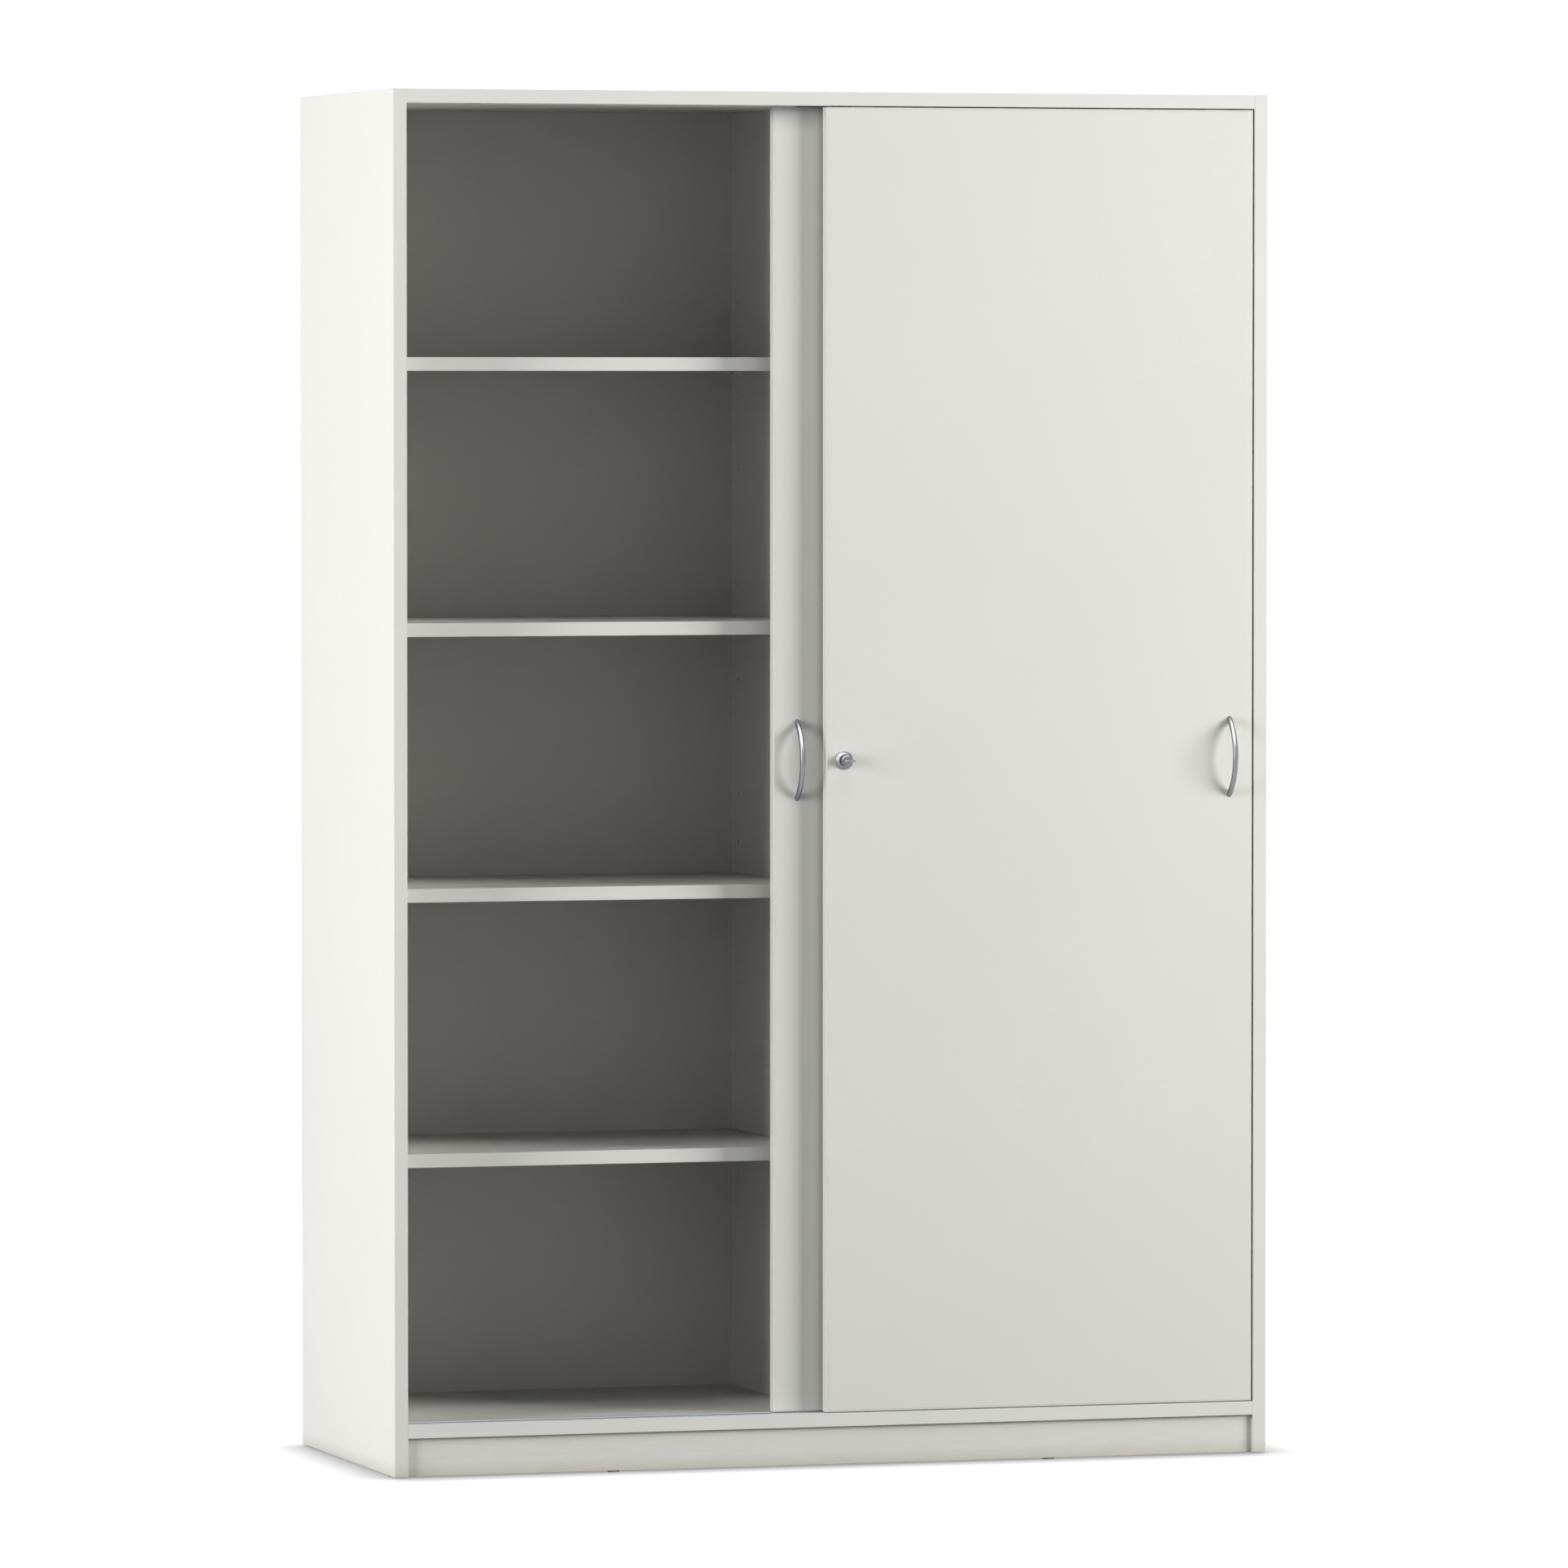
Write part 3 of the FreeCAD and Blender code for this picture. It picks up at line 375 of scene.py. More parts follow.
def screw(head, direction, size, shank, head_radius, head_depth, columns=32):
    """A countersunk screw, from the head's middle out, down its cone and to the point.

    On the face the depth is that of a cross recess. The sizes of recess and point are shares of the
    head and of the length.
    """
    slot, reach, deep = head_radius * 0.13, head_radius * 0.62, head_depth * 0.75
    wall, slot_end = (slot * 0.7, slot * 1.6), (reach * 0.7, reach)
    rim_depth, point_start = 0.03 * head_depth, size * 0.80
    tip_radius, tip_start = shank * 0.55, size * 0.93
    flat, rings = head_radius * 0.96, 15
    face = np.linspace(0.0, flat, rings)
    below = np.array([(head_radius, rim_depth), (shank, head_depth), (shank, point_start),
                      (tip_radius, tip_start), (0.0, size)])
    radius = np.concatenate([face, below[:, 0]])[:, None]
    v = (np.arange(columns) + 0.5) * FULL_TURN / columns
    recess = cross_recess(face[:, None], v, deep, wall, slot_end)
    depth = np.concatenate([recess, np.repeat(below[:, 1:], columns, axis=1)])
    return round_axis(head, frame_of(direction), depth, radius, v)


def cam(mouth, inward, to_bolt, sizes, columns=72):
    """A cam: a capped ring whose wall is open where its bolt comes in.

    The outline runs from the cap's middle over its rim, down the wall and back inside to the cap's under
    side. The wall reaches to cap + (depth - cap) * s(v), where s is a smooth step of the angle v from the
    bolt, between the two edges of the opening. The cap has a cross recess.
    """
    axis, toward = np.array(inward), np.array(to_bolt)
    side = np.cross(axis, toward)
    deep, wall, slot_end = 0.0022, (0.0006, 0.0012), (0.0040, 0.0050)
    rim_depth, floor_thickness = 0.0004, 0.0006
    opening = (math.radians(34), math.radians(46))
    v = (np.arange(columns) + 0.5) * FULL_TURN / columns
    from_bolt = np.abs((v + math.pi) % FULL_TURN - math.pi)
    foot = sizes.cam_cap + (sizes.cam_depth - sizes.cam_cap) * smooth_step(from_bolt, *opening)
    rim, inner = sizes.cam, sizes.cam - sizes.cam_wall
    flat, rings = rim * 0.93, 20
    face = np.linspace(0.0, flat, rings)
    radius = np.concatenate([face, [rim, rim, inner, inner, 0.0]])[:, None]
    depth = np.concatenate([cross_recess(face[:, None], v, deep, wall, slot_end),
                            np.full((1, columns), rim_depth), [foot, foot],
                            np.full((2, columns), sizes.cam_cap - floor_thickness)])
    return round_axis(mouth, (axis, toward, side), depth, radius, v)


def key_bow(middle, tip, sizes, thickness, width, columns=96):
    """The key's flat bow with its ring hole, as a ring of eased sections.

    At angle v the section lies on the ray from the hole's middle, between the hole and the outline. The
    outline is a rectangle with round corners: its distance along the ray is the largest one that keeps
    the rounded-box distance at or below nought, found by halving. A row of the section gives whether it
    counts from the hole, its step towards the hole as a share of the easing, and its height.
    """
    half_width, half_length, corner = width / 2, sizes.key_bow / 2, sizes.key_corner
    halvings, bend = 40, 0.3
    v = np.arange(columns) * FULL_TURN / columns
    ray = np.stack([np.cos(v), np.sin(v)], axis=-1)
    hole_y = sizes.key_hole_inset - half_length
    low, high = np.zeros(columns), np.full(columns, width + sizes.key_bow)
    for _ in range(halvings):
        trial = (low + high) / 2
        place = np.abs(ray * trial[:, None] + [0.0, hole_y]) - [half_width - corner, half_length - corner]
        outside = (np.linalg.norm(np.maximum(place, 0.0), axis=1)
                   + np.minimum(place.max(axis=1), 0.0) - corner) > 0
        low, high = np.where(outside, low, trial), np.where(outside, trial, high)
    half, easing = thickness / 2, thickness * 0.22
    wall, shoulder = half - easing, half - bend * easing
    section = np.array([(0, 0, -wall), (0, 0, wall), (0, bend, shoulder), (0, 1, half),
                        (1, -1, half), (1, -bend, shoulder), (1, 0, wall), (1, 0, -wall),
                        (1, -bend, -shoulder), (1, -1, -half), (0, 1, -half), (0, bend, -shoulder)])
    away = low - (section[:, :1] * (low - sizes.key_hole) + section[:, 1:2] * easing)
    points = np.empty(away.shape + (3,))
    points[..., 0] = middle[0] + away * np.cos(v)
    points[..., 1] = tip + sizes.key_hole_inset + away * np.sin(v)
    points[..., 2] = middle[2] + section[:, 2:]
    return points, True, True


def key_blade(middle, root, end, sizes, rows=90):
    """The key's blade: a flat eased bar that is notched on one side and grooved along its top.

    At the share t of its length the half width is w * (1 - p * s(t)^2), where s is a smooth step over the
    tip. On the notched side it is less by n * max(0, cos(2 pi k t)), from where the notches set in. The
    corners of the section are shares of the half width and of the half thickness.
    """
    t = np.linspace(0.0, 1.0, rows)
    half, thick = sizes.blade / 2, sizes.blade_thick / 2
    notches, notch_depth, set_in = 4, half * 0.42, (0.42, 0.5)
    pointed, tip = 0.55, (0.93, 1.0)
    notch = notch_depth * np.maximum(0.0, np.cos(FULL_TURN * notches * t)) * smooth_step(t, *set_in)
    taper = 1 - pointed * smooth_step(t, *tip) ** 2
    corner = np.array([(1, -0.6), (1, 0.6), (0.86, 1), (0.1, 1), (0.05, 0.55), (-0.15, 0.55),
                       (-0.2, 1), (-0.86, 1), (-1, 0.6), (-1, -0.6), (-0.86, -1), (0.86, -1)])
    wide = np.where(corner[:, 0] > 0, half * taper[:, None], (half * taper - notch)[:, None])
    return tube(middle[0] + wide * corner[:, 0], (root + (end - root) * t)[:, None],
                middle[2] + thick * corner[:, 1])


def coil_spring(low, high, wire, turns, rows=160, columns=10):
    """A coil spring along Y that fills a box: a round wire carried along a helix.

    At u the wire's middle is at radius R from the axis, in direction (cos u, sin u) of the XZ plane. It
    rises evenly between the half turns at its ends, which lie flat. The wire's section at v is w cos v
    outwards and w sin v along Y.
    """
    middle, radius = (low + high) / 2, (high[0] - low[0]) / 2 - wire
    t = np.linspace(0.0, 1.0, rows)[:, None]
    u, v = FULL_TURN * turns * t, np.arange(columns) * FULL_TURN / columns
    flat = 0.5 / turns
    rise = np.clip((t - flat) / (1 - 2 * flat), 0.0, 1.0) * (high[1] - low[1] - 2 * wire)
    away = radius + wire * np.cos(v)
    return tube(middle[0] + away * np.cos(u), low[1] + wire + rise + wire * np.sin(v),
                middle[2] + away * np.sin(u))


# ---- finishes

class Finish:
    """A procedural material under way: its shader, and short ways to add the nodes that feed it."""

    def __init__(self, name, metallic=0.0, specular=0.5):
        self.material = bpy.data.materials.new(name)
        self.material.use_nodes = True
        self.tree = self.material.node_tree
        self.shader = self.tree.nodes["Principled BSDF"]
        self.shader.inputs["Metallic"].default_value = metallic
        self.shader.inputs["Specular IOR Level"].default_value = specular
        self.place = self.tree.nodes.new("ShaderNodeTexCoord").outputs["Object"]

    def join(self, value, socket):
        """Link a node's output to a socket, or set the socket to a plain value."""
        if isinstance(value, NodeSocket):
            self.tree.links.new(value, socket)
        else:
            socket.default_value = value

    def node(self, kind, values, **settings):
        """A shader node of a kind, with its inputs by name or number, and its settings."""
        made = self.tree.nodes.new("ShaderNode" + kind)
        for setting, value in settings.items():
            setattr(made, setting, value)
        for key, value in values.items():
            self.join(value, made.inputs[key])
        return made

    def noise(self, size, detail=3.0, stretch=(1, 1, 1), roughness=0.5):
        """Clouds or grains of that size; a larger stretch makes them longer along that axis."""
        scale = tuple(1 / (size * part) for part in stretch)
        scaled = self.node("Mapping", {"Vector": self.place, "Scale": scale})
        return self.node("TexNoise", {"Vector": scaled.outputs[0], "Scale": 1.0, "Detail": detail,
                                      "Roughness": roughness}).outputs[0]

    def ranged(self, value, low, high, start=0.0, end=1.0):
        """The value's range from low to high carried to start and end."""
        return self.node("MapRange", {"Value": value, "From Min": low, "From Max": high,
                                      "To Min": start, "To Max": end}).outputs[0]

    def sum(self, first, second, operation="ADD"):
        """Two numbers put together."""
        return self.node("Math", {0: first, 1: second}, operation=operation).outputs[0]

    def product(self, first, *others):
        """Numbers multiplied with one another."""
        for other in others:
            first = self.sum(first, other, "MULTIPLY")
        return first

    def blend(self, amount, first, second):
        """Two colours mixed by an amount."""
        return self.node("Mix", {0: amount, 6: first, 7: second}, data_type="RGBA").outputs[2]

    def along(self, axis):
        """The place along one axis."""
        return self.node("SeparateXYZ", {0: self.place}).outputs[axis]

    def edges(self, radius):
        """One along edges and nought on flat faces, and the rounded normal that this is read from."""
        rounded = self.node("Bevel", {"Radius": radius}, samples=4).outputs[0]
        plain = self.tree.nodes.new("ShaderNodeNewGeometry").outputs["Normal"]
        same = self.node("VectorMath", {0: rounded, 1: plain}, operation="DOT_PRODUCT")
        on_face, on_edge = 1.0, 0.8
        return self.ranged(same.outputs["Value"], on_face, on_edge), rounded

    def painted_foot_shade(self, base, look):
        """The base greyed towards the floor: painted shade at the foot, in the tint of the scuffs."""
        foot_shade = self.ranged(self.along(2), look.foot_shade_height, 2 * MM, 0.0, look.foot_shade)
        return self.blend(foot_shade, base, rgba(look.scuff_and_shade))

    def painted_shade_under(self, base, look, top):
        """Painted shade under a board above: the base darkened with the square of the height, in full
        just below the top.
        """
        height = self.ranged(self.along(2), top - look.under_shade_reach, top - 3 * MM)
        return self.blend(self.product(height, height, look.under_shade), base, BLACK)

    def bump(self, height, distance, strength, normal=None):
        """A bump of that depth on the surface."""
        values = {"Height": height, "Distance": distance, "Strength": strength}
        if normal is not None:
            values["Normal"] = normal
        return self.node("Bump", values).outputs[0]

    def sheen(self, value, roughness, below, above):
        """A roughness that follows a noise, from that far below to that far above the given one."""
        return self.ranged(value, *GRAINS, roughness - below, roughness + above)

    def done(self, base, roughness, normal):
        """Feed the shader and hand the material back."""
        self.join(base, self.shader.inputs["Base Color"])
        self.join(roughness, self.shader.inputs["Roughness"])
        self.join(normal, self.shader.inputs["Normal"])
        return self.material


def rgba(values):
    """A colour with full alpha."""
    return tuple(values) + (1.0,)


def tinted(values, times, more=0.0):
    """A colour made darker or paler, part by part, up to one."""
    return tuple(min(1.0, times * part + more) for part in values)


def board_finish(name, look, white, scuffed=False, under=None):
    """Pearl-pressed white melamine: slow clouds of shade, fine pearl, and edges that are a little worn.

    A scuffed board has streaks near the floor. Every board has painted shade towards the floor, and a
    board that ends under another one has painted shade there.
    """
    paint = Finish(name)
    chip_size, streak_size, sheen_size = 0.004, 0.006, 0.02
    speckled, chipped, streaked, pressed = 0.6, 0.25, 0.35, 0.35
    cloud = paint.noise(look.cloud, 4.0)
    shade = [part * dark / full for part, dark, full in zip(white, look.shade, look.board)]
    base = paint.blend(paint.ranged(cloud, *CLOUDS), rgba(white), rgba(shade))
    speckle = paint.ranged(paint.noise(look.speckle, 2.0), *GRAINS, 0.0, speckled)
    base = paint.blend(speckle, base, rgba(shade))
    worn, rounded = paint.edges(look.edge)
    marks = paint.product(worn, paint.ranged(paint.noise(chip_size, 2.0), 0.55, 0.75), chipped)
    if scuffed:
        low = paint.ranged(paint.along(2), look.scuff_height, 0.0)
        streaks = paint.ranged(paint.noise(streak_size, 5.0, (6, 6, 1)), 0.40, 0.70)
        marks = paint.sum(marks, paint.product(low, streaks, streaked))
    # painted shade towards the floor
    base = paint.painted_foot_shade(paint.blend(marks, base, rgba(look.scuff_and_shade)), look)
    # painted shade under the top board
    if under is not None:
        base = paint.painted_shade_under(base, look, under)
    pearl = paint.noise(look.pearl, 2.0)
    sheen = paint.sheen(paint.noise(sheen_size, 3.0), look.roughness, 0.04, 0.05)
    return paint.done(base, sheen, paint.bump(pearl, look.pearl_depth, pressed, rounded))


def band_finish(name, look, front=None, under=None):
    """Smooth edge band: a hair glossier than the board, with the fine lines of its trimming.

    A band with a front has painted shade on its narrow faces behind it, and one that ends under a board
    has painted shade there. Every band has painted shade towards the floor.
    """
    paint = Finish(name)
    cloud_size, line_size, line_depth, rubbed = 0.15, 0.0008, 0.00001, 0.06
    cloud = paint.ranged(paint.noise(cloud_size, 3.0), *CLOUDS)
    base = paint.blend(cloud, rgba(look.band), rgba(look.board))
    worn, rounded = paint.edges(look.edge)
    # painted shade towards the floor
    base = paint.painted_foot_shade(paint.blend(paint.product(worn, rubbed), base, rgba(look.scuff_and_shade)), look)
    # painted shade: the narrow faces behind the front are darkened towards black
    if front is not None:
        behind = paint.ranged(paint.along(1), front + 0.5 * MM, front + 1.5 * MM, 0.0, look.narrow)
        base = paint.blend(behind, base, BLACK)
    # painted shade under the top board
    if under is not None:
        base = paint.painted_shade_under(base, look, under)
    lines = paint.noise(line_size, 2.0, (1, 1, 12))
    sheen = paint.sheen(lines, look.band_roughness, 0.04, 0.06)
    return paint.done(base, sheen, paint.bump(lines, line_depth, 0.5, rounded))


def metal_finish(name, tint, roughness, line, stretch=(1, 1, 1), worn=0.0, depth=0.000006, axis=None):
    """Brushed or tumbled metal: fine lines, cloudy roughness and, where it is worn, brighter edges.

    The lines run along the stretch, or in rings round a line along Y through the axis point.
    """
    paint = Finish(name, metallic=1.0)
    cloud_size, edge_radius, contrast = 0.012, 0.0004, 0.6
    if axis is None:
        lines = paint.noise(line, 2.0, stretch, contrast)
    else:
        flat = paint.node("VectorMath", {0: paint.place, 1: (1, 0, 1)}, operation="MULTIPLY")
        ring = paint.node("VectorMath", {0: flat.outputs[0], 1: (axis[0], 0, axis[2])},
                          operation="DISTANCE")
        place = paint.sum(ring.outputs["Value"], line, "DIVIDE")
        lines = paint.node("TexNoise", {"W": place, "Scale": 1.0, "Detail": 2.0, "Roughness": contrast},
                           noise_dimensions="1D").outputs[0]
    cloud = paint.noise(cloud_size, 3.0)
    base, rounded = paint.blend(paint.ranged(lines, *GRAINS), rgba(tinted(tint, 0.90)), rgba(tint)), None
    if worn:
        bare, rounded = paint.edges(edge_radius)
        base = paint.blend(paint.product(bare, worn), base, rgba(tinted(tint, 1.12)))
    sheen = paint.sum(paint.sheen(lines, 0.0, 0.04, 0.05), paint.sheen(cloud, roughness, 0.03, 0.04))
    return paint.done(base, sheen, paint.bump(lines, depth, 0.6, rounded))


def plastic_finish(name, tint, roughness):
    """Moulded plastic: fine spark-eroded grain, slight clouding and paler rubbed edges."""
    paint = Finish(name, specular=0.45)
    grain_size, cloud_size, edge_radius, grain_depth = 0.0005, 0.01, 0.0005, 0.00002
    clouded, rubbed = 0.35, 0.3
    pale = rgba(tinted(tint, 1.5, 0.02))
    grain = paint.noise(grain_size, 3.0)
    cloud = paint.ranged(paint.noise(cloud_size, 3.0), *GRAINS, 0.0, clouded)
    base = paint.blend(cloud, rgba(tint), pale)
    worn, rounded = paint.edges(edge_radius)
    base = paint.blend(paint.product(worn, rubbed), base, pale)
    sheen = paint.sheen(grain, roughness, 0.06, 0.08)
    return paint.done(base, sheen, paint.bump(grain, grain_depth, 0.5, rounded))


def beech_finish(look):
    """Beech: long fine grain along the dowel, with darker flecks."""
    paint = Finish("beech")
    grain_size, fleck_size, grain_depth, flecked = 0.0006, 0.0012, 0.00005, 0.5
    roughest, smoothest = 0.75, 0.55
    grain = paint.noise(grain_size, 4.0, (10, 1, 1))
    flecks = paint.ranged(paint.noise(fleck_size, 2.0, (3, 1, 1)), 0.60, 0.68)
    base = paint.blend(paint.ranged(grain, *GRAINS), rgba(look.beech), rgba(look.beech_dark))
    base = paint.blend(paint.product(flecks, flecked), base, rgba(look.beech_dark))
    sheen = paint.ranged(grain, *GRAINS, smoothest, roughest)
    return paint.done(base, sheen, paint.bump(grain, grain_depth, 0.6))


def once(make, name, *values, **more):
    """The finish of that name, made the first time that it is asked for."""
    return bpy.data.materials.get(name) or make(name, *values, **more)


def satin(look):
    """Satin steel, brushed along an upright bar."""
    return once(metal_finish, "satin_steel_bar", look.satin, look.satin_roughness, look.brush, (1, 1, 14))


def turned_steel(look):
    """Satin steel with the rings of the lathe round the lock's middle."""
    return once(metal_finish, "turned_steel", look.satin, look.satin_roughness, look.brush,
                axis=(flange_low + flange_high) / 2)


def zinc(look):
    """Zinc plating, a little brighter on its worn edges."""
    roughness, grain_size = 0.34, 0.0016
    return once(metal_finish, "zinc_plated_steel", look.zinc, roughness, grain_size, worn=0.35,
                depth=0.00001)


def plastic(look):
    """The grey plastic of the running gear."""
    return once(plastic_finish, "moulded_grey_plastic", look.plastic, roughness=0.48)


def dress(finish, *names):
    """Give CAD nodes a finish in every one of their material slots."""
    for name in names:
        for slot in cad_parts[name].material_slots:
            slot.material = finish


# ---- pieces

class CABINET_OT_boards(Operator):
    """Finish the melamine boards, doors, shelves and plinths"""
    bl_idname = "cabinet.boards"
    bl_label = "Boards"

    def execute(self, context):
        look = context.scene.cabinet_boards
        dress(board_finish("white_melamine", look, look.board), *OUTSIDE_BOARDS, "right_door_panel")
        # the rear door's copy carries painted shade under the top board
        dress(board_finish("white_melamine_rear_door", look, look.board, under=rear_door_high[2]),
              "left_door_panel")
        # the boards inside get a copy tinted to the colour of their shade, a painted tint
        dress(board_finish("white_melamine_inside", look, look.inside), *INSIDE_BOARDS)
        dress(board_finish("white_melamine_plinth", look, look.board, scuffed=True), *PLINTHS)
        return {"FINISHED"}


class CABINET_OT_bands(Operator):
    """Finish the edge bands of carcass, shelves and doors"""
    bl_idname = "cabinet.bands"
    bl_label = "Edge bands"

    def execute(self, context):
        look = context.scene.cabinet_boards
        dress(band_finish("white_edge_band", look), *BANDS)
        # the door bands carry painted shade on their narrow faces
        dress(band_finish("white_front_door_band", look, door_face), "right_door_edge_bands")
        dress(band_finish("white_rear_door_band", look, rear_door_low[1], rear_door_high[2]),
              "left_door_edge_bands")
        return {"FINISHED"}


class CABINET_OT_running_gear(Operator):
    """Finish tracks, wheels, axles, guides, stops and buffers"""
    bl_idname = "cabinet.running_gear"
    bl_label = "Running gear"

    def execute(self, context):
        look = context.scene.cabinet_fittings
        brushed = metal_finish("brushed_aluminium", look.aluminium, roughness=0.42, line=look.brush,
                               stretch=(60, 1, 1), worn=0.25)
        dress(brushed, "bottom_track", "top_track")
        dress(plastic(look), "track_stops", "door_buffers")
        for door in DOORS:
            dress(plastic(look), f"{door}_roller_housings", f"{door}_guides", f"{door}_wheel_1",
                  f"{door}_wheel_2")
            dress(zinc(look), f"{door}_axles")
        return {"FINISHED"}


class CABINET_OT_handles(Operator):
    """Make the two bow handles"""
    bl_idname = "cabinet.handles"
    bl_label = "Bow handles"

    def execute(self, context):
        finish = satin(context.scene.cabinet_fittings)
        for door in DOORS:
            low, high = corners(f"{door}_handle")
            middle = ((low[0] + high[0]) / 2, (low[2] + high[2]) / 2)
            face = corners(f"{door}_panel")[0][1]
            shape = bow(middle, face, context.scene.cabinet_handles)
            piece(f"{door}_bow_handle", [shape], finish, door, "satin_steel", f"{door}_handle")
        return {"FINISHED"}


class CABINET_OT_lock(Operator):
    """Make the lock's flange, its push cylinder and the key, and finish the parts behind them"""
    bl_idname = "cabinet.lock"
    bl_label = "Lock and key"

    def execute(self, context):
        sizes, look = context.scene.cabinet_lock, context.scene.cabinet_fittings
        steel, middle = turned_steel(look), (flange_low + flange_high) / 2
        rim = (flange_high[0] - flange_low[0]) / 2
        tall, deep = door_face - flange_low[1], flange_high[1] - flange_low[1]
        low, high = corners("lock_cylinder")
        radius = (high[0] - low[0]) / 2
        bore = radius + sizes.play
        outline = eased([(tall, bore), (0, bore), (0, sizes.nose), (tall - sizes.rim, rim),
                         (tall, rim), (tall, sizes.neck), (deep, sizes.neck), (deep, bore),
                         (tall, bore)], sizes.easing)
        flange = turned(outline, (middle[0], flange_low[1], middle[2]), Y, columns=96)
        piece("lock_flange", [flange], steel, "right_door", "satin_steel", "lock_housing")
        piece("push_cylinder", [self.cylinder(sizes, low, high)], steel, "lock_cylinder", "satin_steel",
              "lock_cylinder")
        low, high = corners("key")
        middle, bow_end = (low + high) / 2, low[1] + sizes.key_bow
        bow_shape = key_bow(middle, low[1], sizes, high[2] - low[2], high[0] - low[0])
        blade = key_blade(middle, bow_end - sizes.blade_root, high[1], sizes)
        piece("turned_key", [bow_shape, blade], satin(look), "key", "satin_steel", "key")
        dress(steel, "lock_plug")
        low, high = corners("lock_spring")
        spring = piece("coiled_spring", [coil_spring(low, high, sizes.wire, sizes.turns)], zinc(look),
                       "right_door", "zinc_steel", "lock_spring")
        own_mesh(spring)
        dress(zinc(look), "lock_back_plate", "lock_keeper")
        return {"FINISHED"}

    def cylinder(self, sizes, low, high):
        """The push cylinder, from the plug's bore over its front, down its side and round its pin."""
        plug_low, plug_high = corners("lock_plug")
        middle, radius = (low + high) / 2, (high[0] - low[0]) / 2
        bore = (plug_high[0] - plug_low[0]) / 2 + sizes.play
        bore_end = plug_high[1] - plug_low[1] + sizes.play
        pin, bevel, bevel_depth, easing = 3.0 * MM, 0.9 * MM, 0.6 * MM, sizes.easing * 0.6
        end = high[1] - low[1]
        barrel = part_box("lock_spring")[0].y - low[1] + sizes.pocket
        pocket, pocket_end = radius - sizes.wall, barrel - sizes.pocket
        outline = eased([(bore_end, 0.0), (bore_end, bore), (0.0, bore), (0.0, radius - bevel),
                         (bevel_depth, radius), (barrel, radius), (barrel, pocket), (pocket_end, pocket),
                         (pocket_end, pin), (end, pin), (end, 0.0)], easing)
        return turned(outline, (middle[0], low[1], middle[2]), Y, columns=80)


class CABINET_OT_screws(Operator):
    """Make the cross-recessed screws of tracks, back panel, handles and lock"""
    bl_idname = "cabinet.screws"
    bl_label = "Screws"

    def execute(self, context):
        sizes, finish = context.scene.cabinet_fasteners, zinc(context.scene.cabinet_fittings)
        low, high = corners("track_screws")
        row, rim = (low[1] + high[1]) / 2, sizes.wood[1]
        places = np.linspace(low[0] + rim, high[0] - rim, 5)
        levels = ((low[2] + sizes.track_screw, -Z), (high[2] - sizes.track_screw, Z))
        tracks = [screw((place, row, level), way, sizes.track_screw, *sizes.wood)
                  for place in places for level, way in levels]
        piece("track_cross_screws", tracks, finish, "cabinet", "zinc_steel", "track_screws")

        def upright(node, body, count, way, kind):
            """Screws one above the other between a node's lowest and highest."""
            low, high = corners(node)
            heights = np.linspace(low[2] + kind[1], high[2] - kind[1], count)
            head = low[1] if way is Y else high[1]
            made = [screw(((low[0] + high[0]) / 2, head, height), way, high[1] - low[1], *kind)
                    for height in heights]
            piece(node.replace("_screws", "_cross_screws"), made, finish, body, "zinc_steel", node)

        upright("back_panel_screws", "cabinet", 5, -Y, sizes.wood)
        upright("lock_plate_screws", "right_door", 2, -Y, sizes.small)
        upright("lock_keeper_screws", "left_door", 2, Y, sizes.small)
        for door in DOORS:
            upright(f"{door}_handle_screws", door, 2, -Y, sizes.grip)
        return {"FINISHED"}


class CABINET_OT_cams(Operator):
    """Make the cams that draw the boards together"""
    bl_idname = "cabinet.cams"
    bl_label = "Cams"

    def execute(self, context):
        sizes = context.scene.cabinet_fasteners
        low, high = corners("cam_housings")
        rows = np.linspace(low[1] + sizes.cam, high[1] - sizes.cam, 3)
        columns = (low[0] + sizes.cam, high[0] - sizes.cam)
        head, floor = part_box("top_panel")[0].z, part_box("bottom_panel")[0].z
        cams = [cam((column, row, level), Z, X * math.copysign(1, column), sizes)
                for column in columns for row in rows for level in (head, floor)]
        part_low, part_high = corners("centre_partition")
        for row in (rows[0], rows[-1]):
            for level, way in ((part_low[2] + sizes.cam_height, -Z),
                               (part_high[2] - sizes.cam_height, Z)):
                cams.append(cam((part_high[0], row, level), -X, way, sizes))
        finish = zinc(context.scene.cabinet_fittings)
        piece("slotted_cams", cams, finish, "cabinet", "zinc_steel", "cam_housings")
        return {"FINISHED"}


class CABINET_OT_small_fittings(Operator):
    """Finish cam bolts, shelf pins, dowels and glides"""
    bl_idname = "cabinet.small_fittings"
    bl_label = "Small fittings"

    def execute(self, context):
        look = context.scene.cabinet_fittings
        dress(zinc(look), "cam_bolts", "shelf_pins")
        dress(beech_finish(look), "dowels")
        dress(plastic_finish("grey_glide_plastic", look.glide, roughness=0.42), "floor_glides")
        return {"FINISHED"}


# ---- stage

def area_lamp(name, place, target, size, watts, glossy=True, only=None):
    """A rectangular lamp aimed at a target; it may be left out of gloss, or light one collection only."""
    data = bpy.data.lights.new(name, "AREA")
    data.shape = "RECTANGLE"
    data.size, data.size_y = size
    data.energy = watts
    lamp = bpy.data.objects.new(name, data)
    lamp.location = place
    lamp.rotation_euler = (Vector(target) - Vector(place)).to_track_quat("-Z", "Y").to_euler()
    lamp.visible_glossy = glossy
    if only is not None:
        lamp.light_linking.receiver_collection = only
    bpy.context.scene.collection.objects.link(lamp)


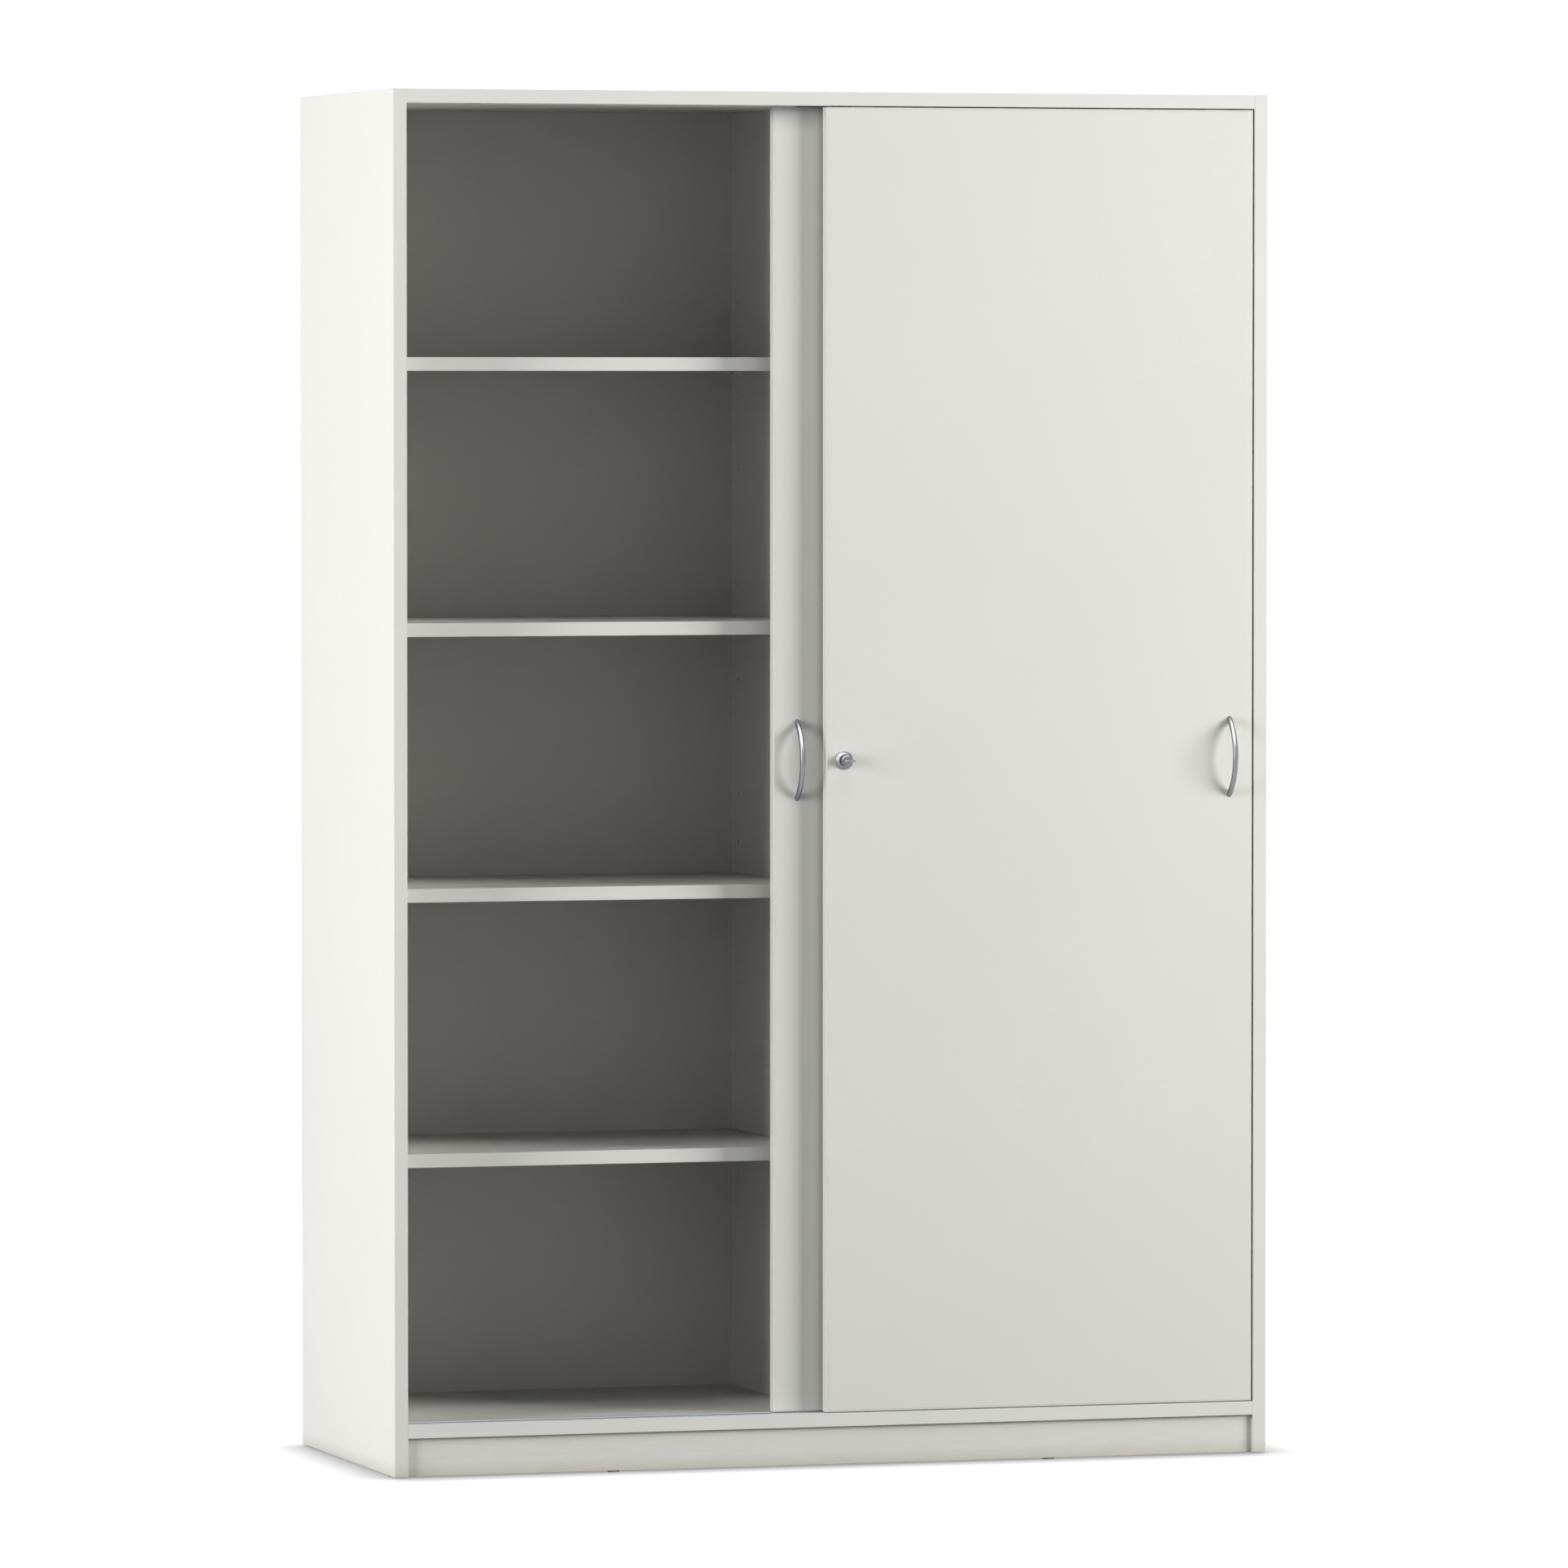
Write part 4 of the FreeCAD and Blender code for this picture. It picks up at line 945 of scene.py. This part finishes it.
def seen_directly(tree):
    """One for camera, glossy and transmission rays, nought for light that falls on things."""
    path = tree.nodes.new("ShaderNodeLightPath")
    total = path.outputs["Is Camera Ray"]
    for other in ("Is Glossy Ray", "Is Transmission Ray"):
        larger = tree.nodes.new("ShaderNodeMath")
        larger.operation = "MAXIMUM"
        tree.links.new(total, larger.inputs[0])
        tree.links.new(path.outputs[other], larger.inputs[1])
        total = larger.outputs[0]
    return total


def floor_piece(look):
    """A wide floor whose height at a distance is -drop * (distance / reach)^4.

    Its lines follow the hyperbolic sine of an even step, so they crowd together near the object. It glows
    white, with a painted contact shadow where ambient occlusion finds the object close and a glow a
    little lower near the middle, but casts no more light on things than a dark floor.
    """
    reach, drop, crowding, count = 40.0, 0.5, 3.5, 41
    line = np.sinh(np.linspace(-crowding, crowding, count)) / math.sinh(crowding) * reach
    across, along = np.meshgrid(line, line)
    points = np.stack([across, along, -drop * (np.hypot(across, along) / reach) ** 4], axis=-1)
    mesh = bpy.data.meshes.new("studio_floor")
    mesh.from_pydata(points.reshape(-1, 3), [], grid_faces(count, count, False, False).tolist())
    mesh.shade_smooth()
    floor = bpy.data.objects.new("studio_floor", mesh)
    bpy.context.scene.collection.objects.link(floor)
    paint = Finish("pale_floor", specular=0.0)
    painted_shadow_reach, cloud_size, grain_size, grain_depth, roughness = 0.07, 0.4, 0.003, 0.0001, 0.9
    away = paint.node("VectorMath", {0: paint.place}, operation="LENGTH").outputs["Value"]
    # painted contact shadow: the glow is dimmed where ambient occlusion finds the object close
    near = paint.node("AmbientOcclusion", {"Distance": painted_shadow_reach}, samples=16).outputs["AO"]
    painted_contact_shadow = paint.ranged(near, 0.45, 1.0, look.floor_glow, 1.0)
    fading = paint.ranged(away, 0.8, 2.2, 0.98, 1.0)
    paint.shader.inputs["Emission Color"].default_value = WHITE
    paint.join(paint.product(painted_contact_shadow, fading, seen_directly(paint.tree)),
               paint.shader.inputs["Emission Strength"])
    base = paint.blend(paint.noise(cloud_size, 2.0), rgba(look.floor), rgba(tinted(look.floor, 0.97)))
    grain = paint.bump(paint.noise(grain_size, 2.0), grain_depth, 0.2)
    mesh.materials.append(paint.done(base, roughness, grain))


class CABINET_OT_stage(Operator):
    """Set the camera, lamps, backdrop and floor"""
    bl_idname = "cabinet.stage"
    bl_label = "Stage"

    def execute(self, context):
        look, scene = context.scene.cabinet_stage, context.scene
        data = bpy.data.cameras.new("front_camera")
        data.lens = look.lens
        camera = bpy.data.objects.new("front_camera", data)
        camera.location = look.eye
        camera.rotation_euler = (math.pi / 2 - look.dip, 0.0, -look.swing)
        scene.collection.objects.link(camera)
        scene.camera = camera
        middle = (0.0, -0.1, 0.95)
        for name, place, size in (("left", (-4.85, -1.44, 1.4), (1.8, 2.6)),
                                  ("right", (4.4, -2.85, 1.6), (2.6, 2.4)),
                                  ("front", (0.2, -1.8, 3.4), (2.0, 0.6)),
                                  ("fill", (-3.5, -3.7, 1.3), (2.0, 2.6)),
                                  ("side", (-4.85, 0.6, 2.4), (1.8, 2.0))):
            watts = getattr(look, f"{name}_power")
            area_lamp(f"{name}_lamp", place, middle, size, watts, glossy=False)
        area_lamp("rear_lamp", (0.0, 4.6, 2.0), middle, (1.0, 1.5), look.rear_power)
        under_top_lamp, under_strip = (0.0, 0.5, 0.0), (-0.2, -1.8, 0.0)
        area_lamp("top_lamp", (0.0, 0.6, 4.2), under_top_lamp, (1.0, 1.0), look.top_power, glossy=False)
        metals = bpy.data.collections.new("polished_pieces")
        for name in POLISHED:
            metals.objects.link(bpy.data.objects[name])
        area_lamp("overhead_strip", (-0.2, -1.9, 3.6), under_strip, (5.0, 6.6), look.strip_power,
                  only=metals)
        area_lamp("left_panel", (-4.2, -2.0, 2.6), middle, (3.6, 4.0), look.panel_power, only=metals)
        scene.cycles.diffuse_bounces = look.bounces
        world = bpy.data.worlds.new("studio")
        world.use_nodes = True
        tree = world.node_tree
        level = tree.nodes.new("ShaderNodeMapRange")
        tree.links.new(seen_directly(tree), level.inputs["Value"])
        level.inputs["To Min"].default_value = look.ambient
        level.inputs["To Max"].default_value = 1.0
        tree.nodes["Background"].inputs["Color"].default_value = WHITE
        tree.links.new(level.outputs[0], tree.nodes["Background"].inputs["Strength"])
        scene.world = world
        scene.view_settings.view_transform = "Standard"
        floor_piece(look)
        return {"FINISHED"}


# ---- add-on

GROUPS = {"cabinet_boards": BoardLook, "cabinet_fittings": FittingLook, "cabinet_handles": HandleSizes,
          "cabinet_lock": LockSizes, "cabinet_fasteners": FastenerSizes, "cabinet_stage": StageLook}
OPERATORS = (CABINET_OT_boards, CABINET_OT_bands, CABINET_OT_running_gear, CABINET_OT_handles,
             CABINET_OT_lock, CABINET_OT_screws, CABINET_OT_cams, CABINET_OT_small_fittings,
             CABINET_OT_stage)


class CABINET_PT_panel(Panel):
    """The cabinet's pieces, in the sidebar of the 3D view"""
    bl_label = "Sliding door cabinet"
    bl_idname = "CABINET_PT_panel"
    bl_space_type = "VIEW_3D"
    bl_region_type = "UI"
    bl_category = "Cabinet"

    def draw(self, context):
        for operator in OPERATORS:
            self.layout.operator(operator.bl_idname)
        for name, group in GROUPS.items():
            box = self.layout.box()
            for size in group.__annotations__:
                box.prop(getattr(context.scene, name), size)


def register():
    """Register the property groups, operators and panel."""
    for name, group in GROUPS.items():
        bpy.utils.register_class(group)
        setattr(Scene, name, PointerProperty(type=group))
    for kind in OPERATORS + (CABINET_PT_panel,):
        bpy.utils.register_class(kind)


def unregister():
    """Take them out again, in the opposite order."""
    for kind in reversed(OPERATORS + (CABINET_PT_panel,)):
        bpy.utils.unregister_class(kind)
    for name, group in reversed(GROUPS.items()):
        delattr(Scene, name)
        bpy.utils.unregister_class(group)


def main():
    register()
    for operator in OPERATORS:
        family, name = operator.bl_idname.split(".")
        getattr(getattr(bpy.ops, family), name)()


if __name__ == "__main__":
    main()
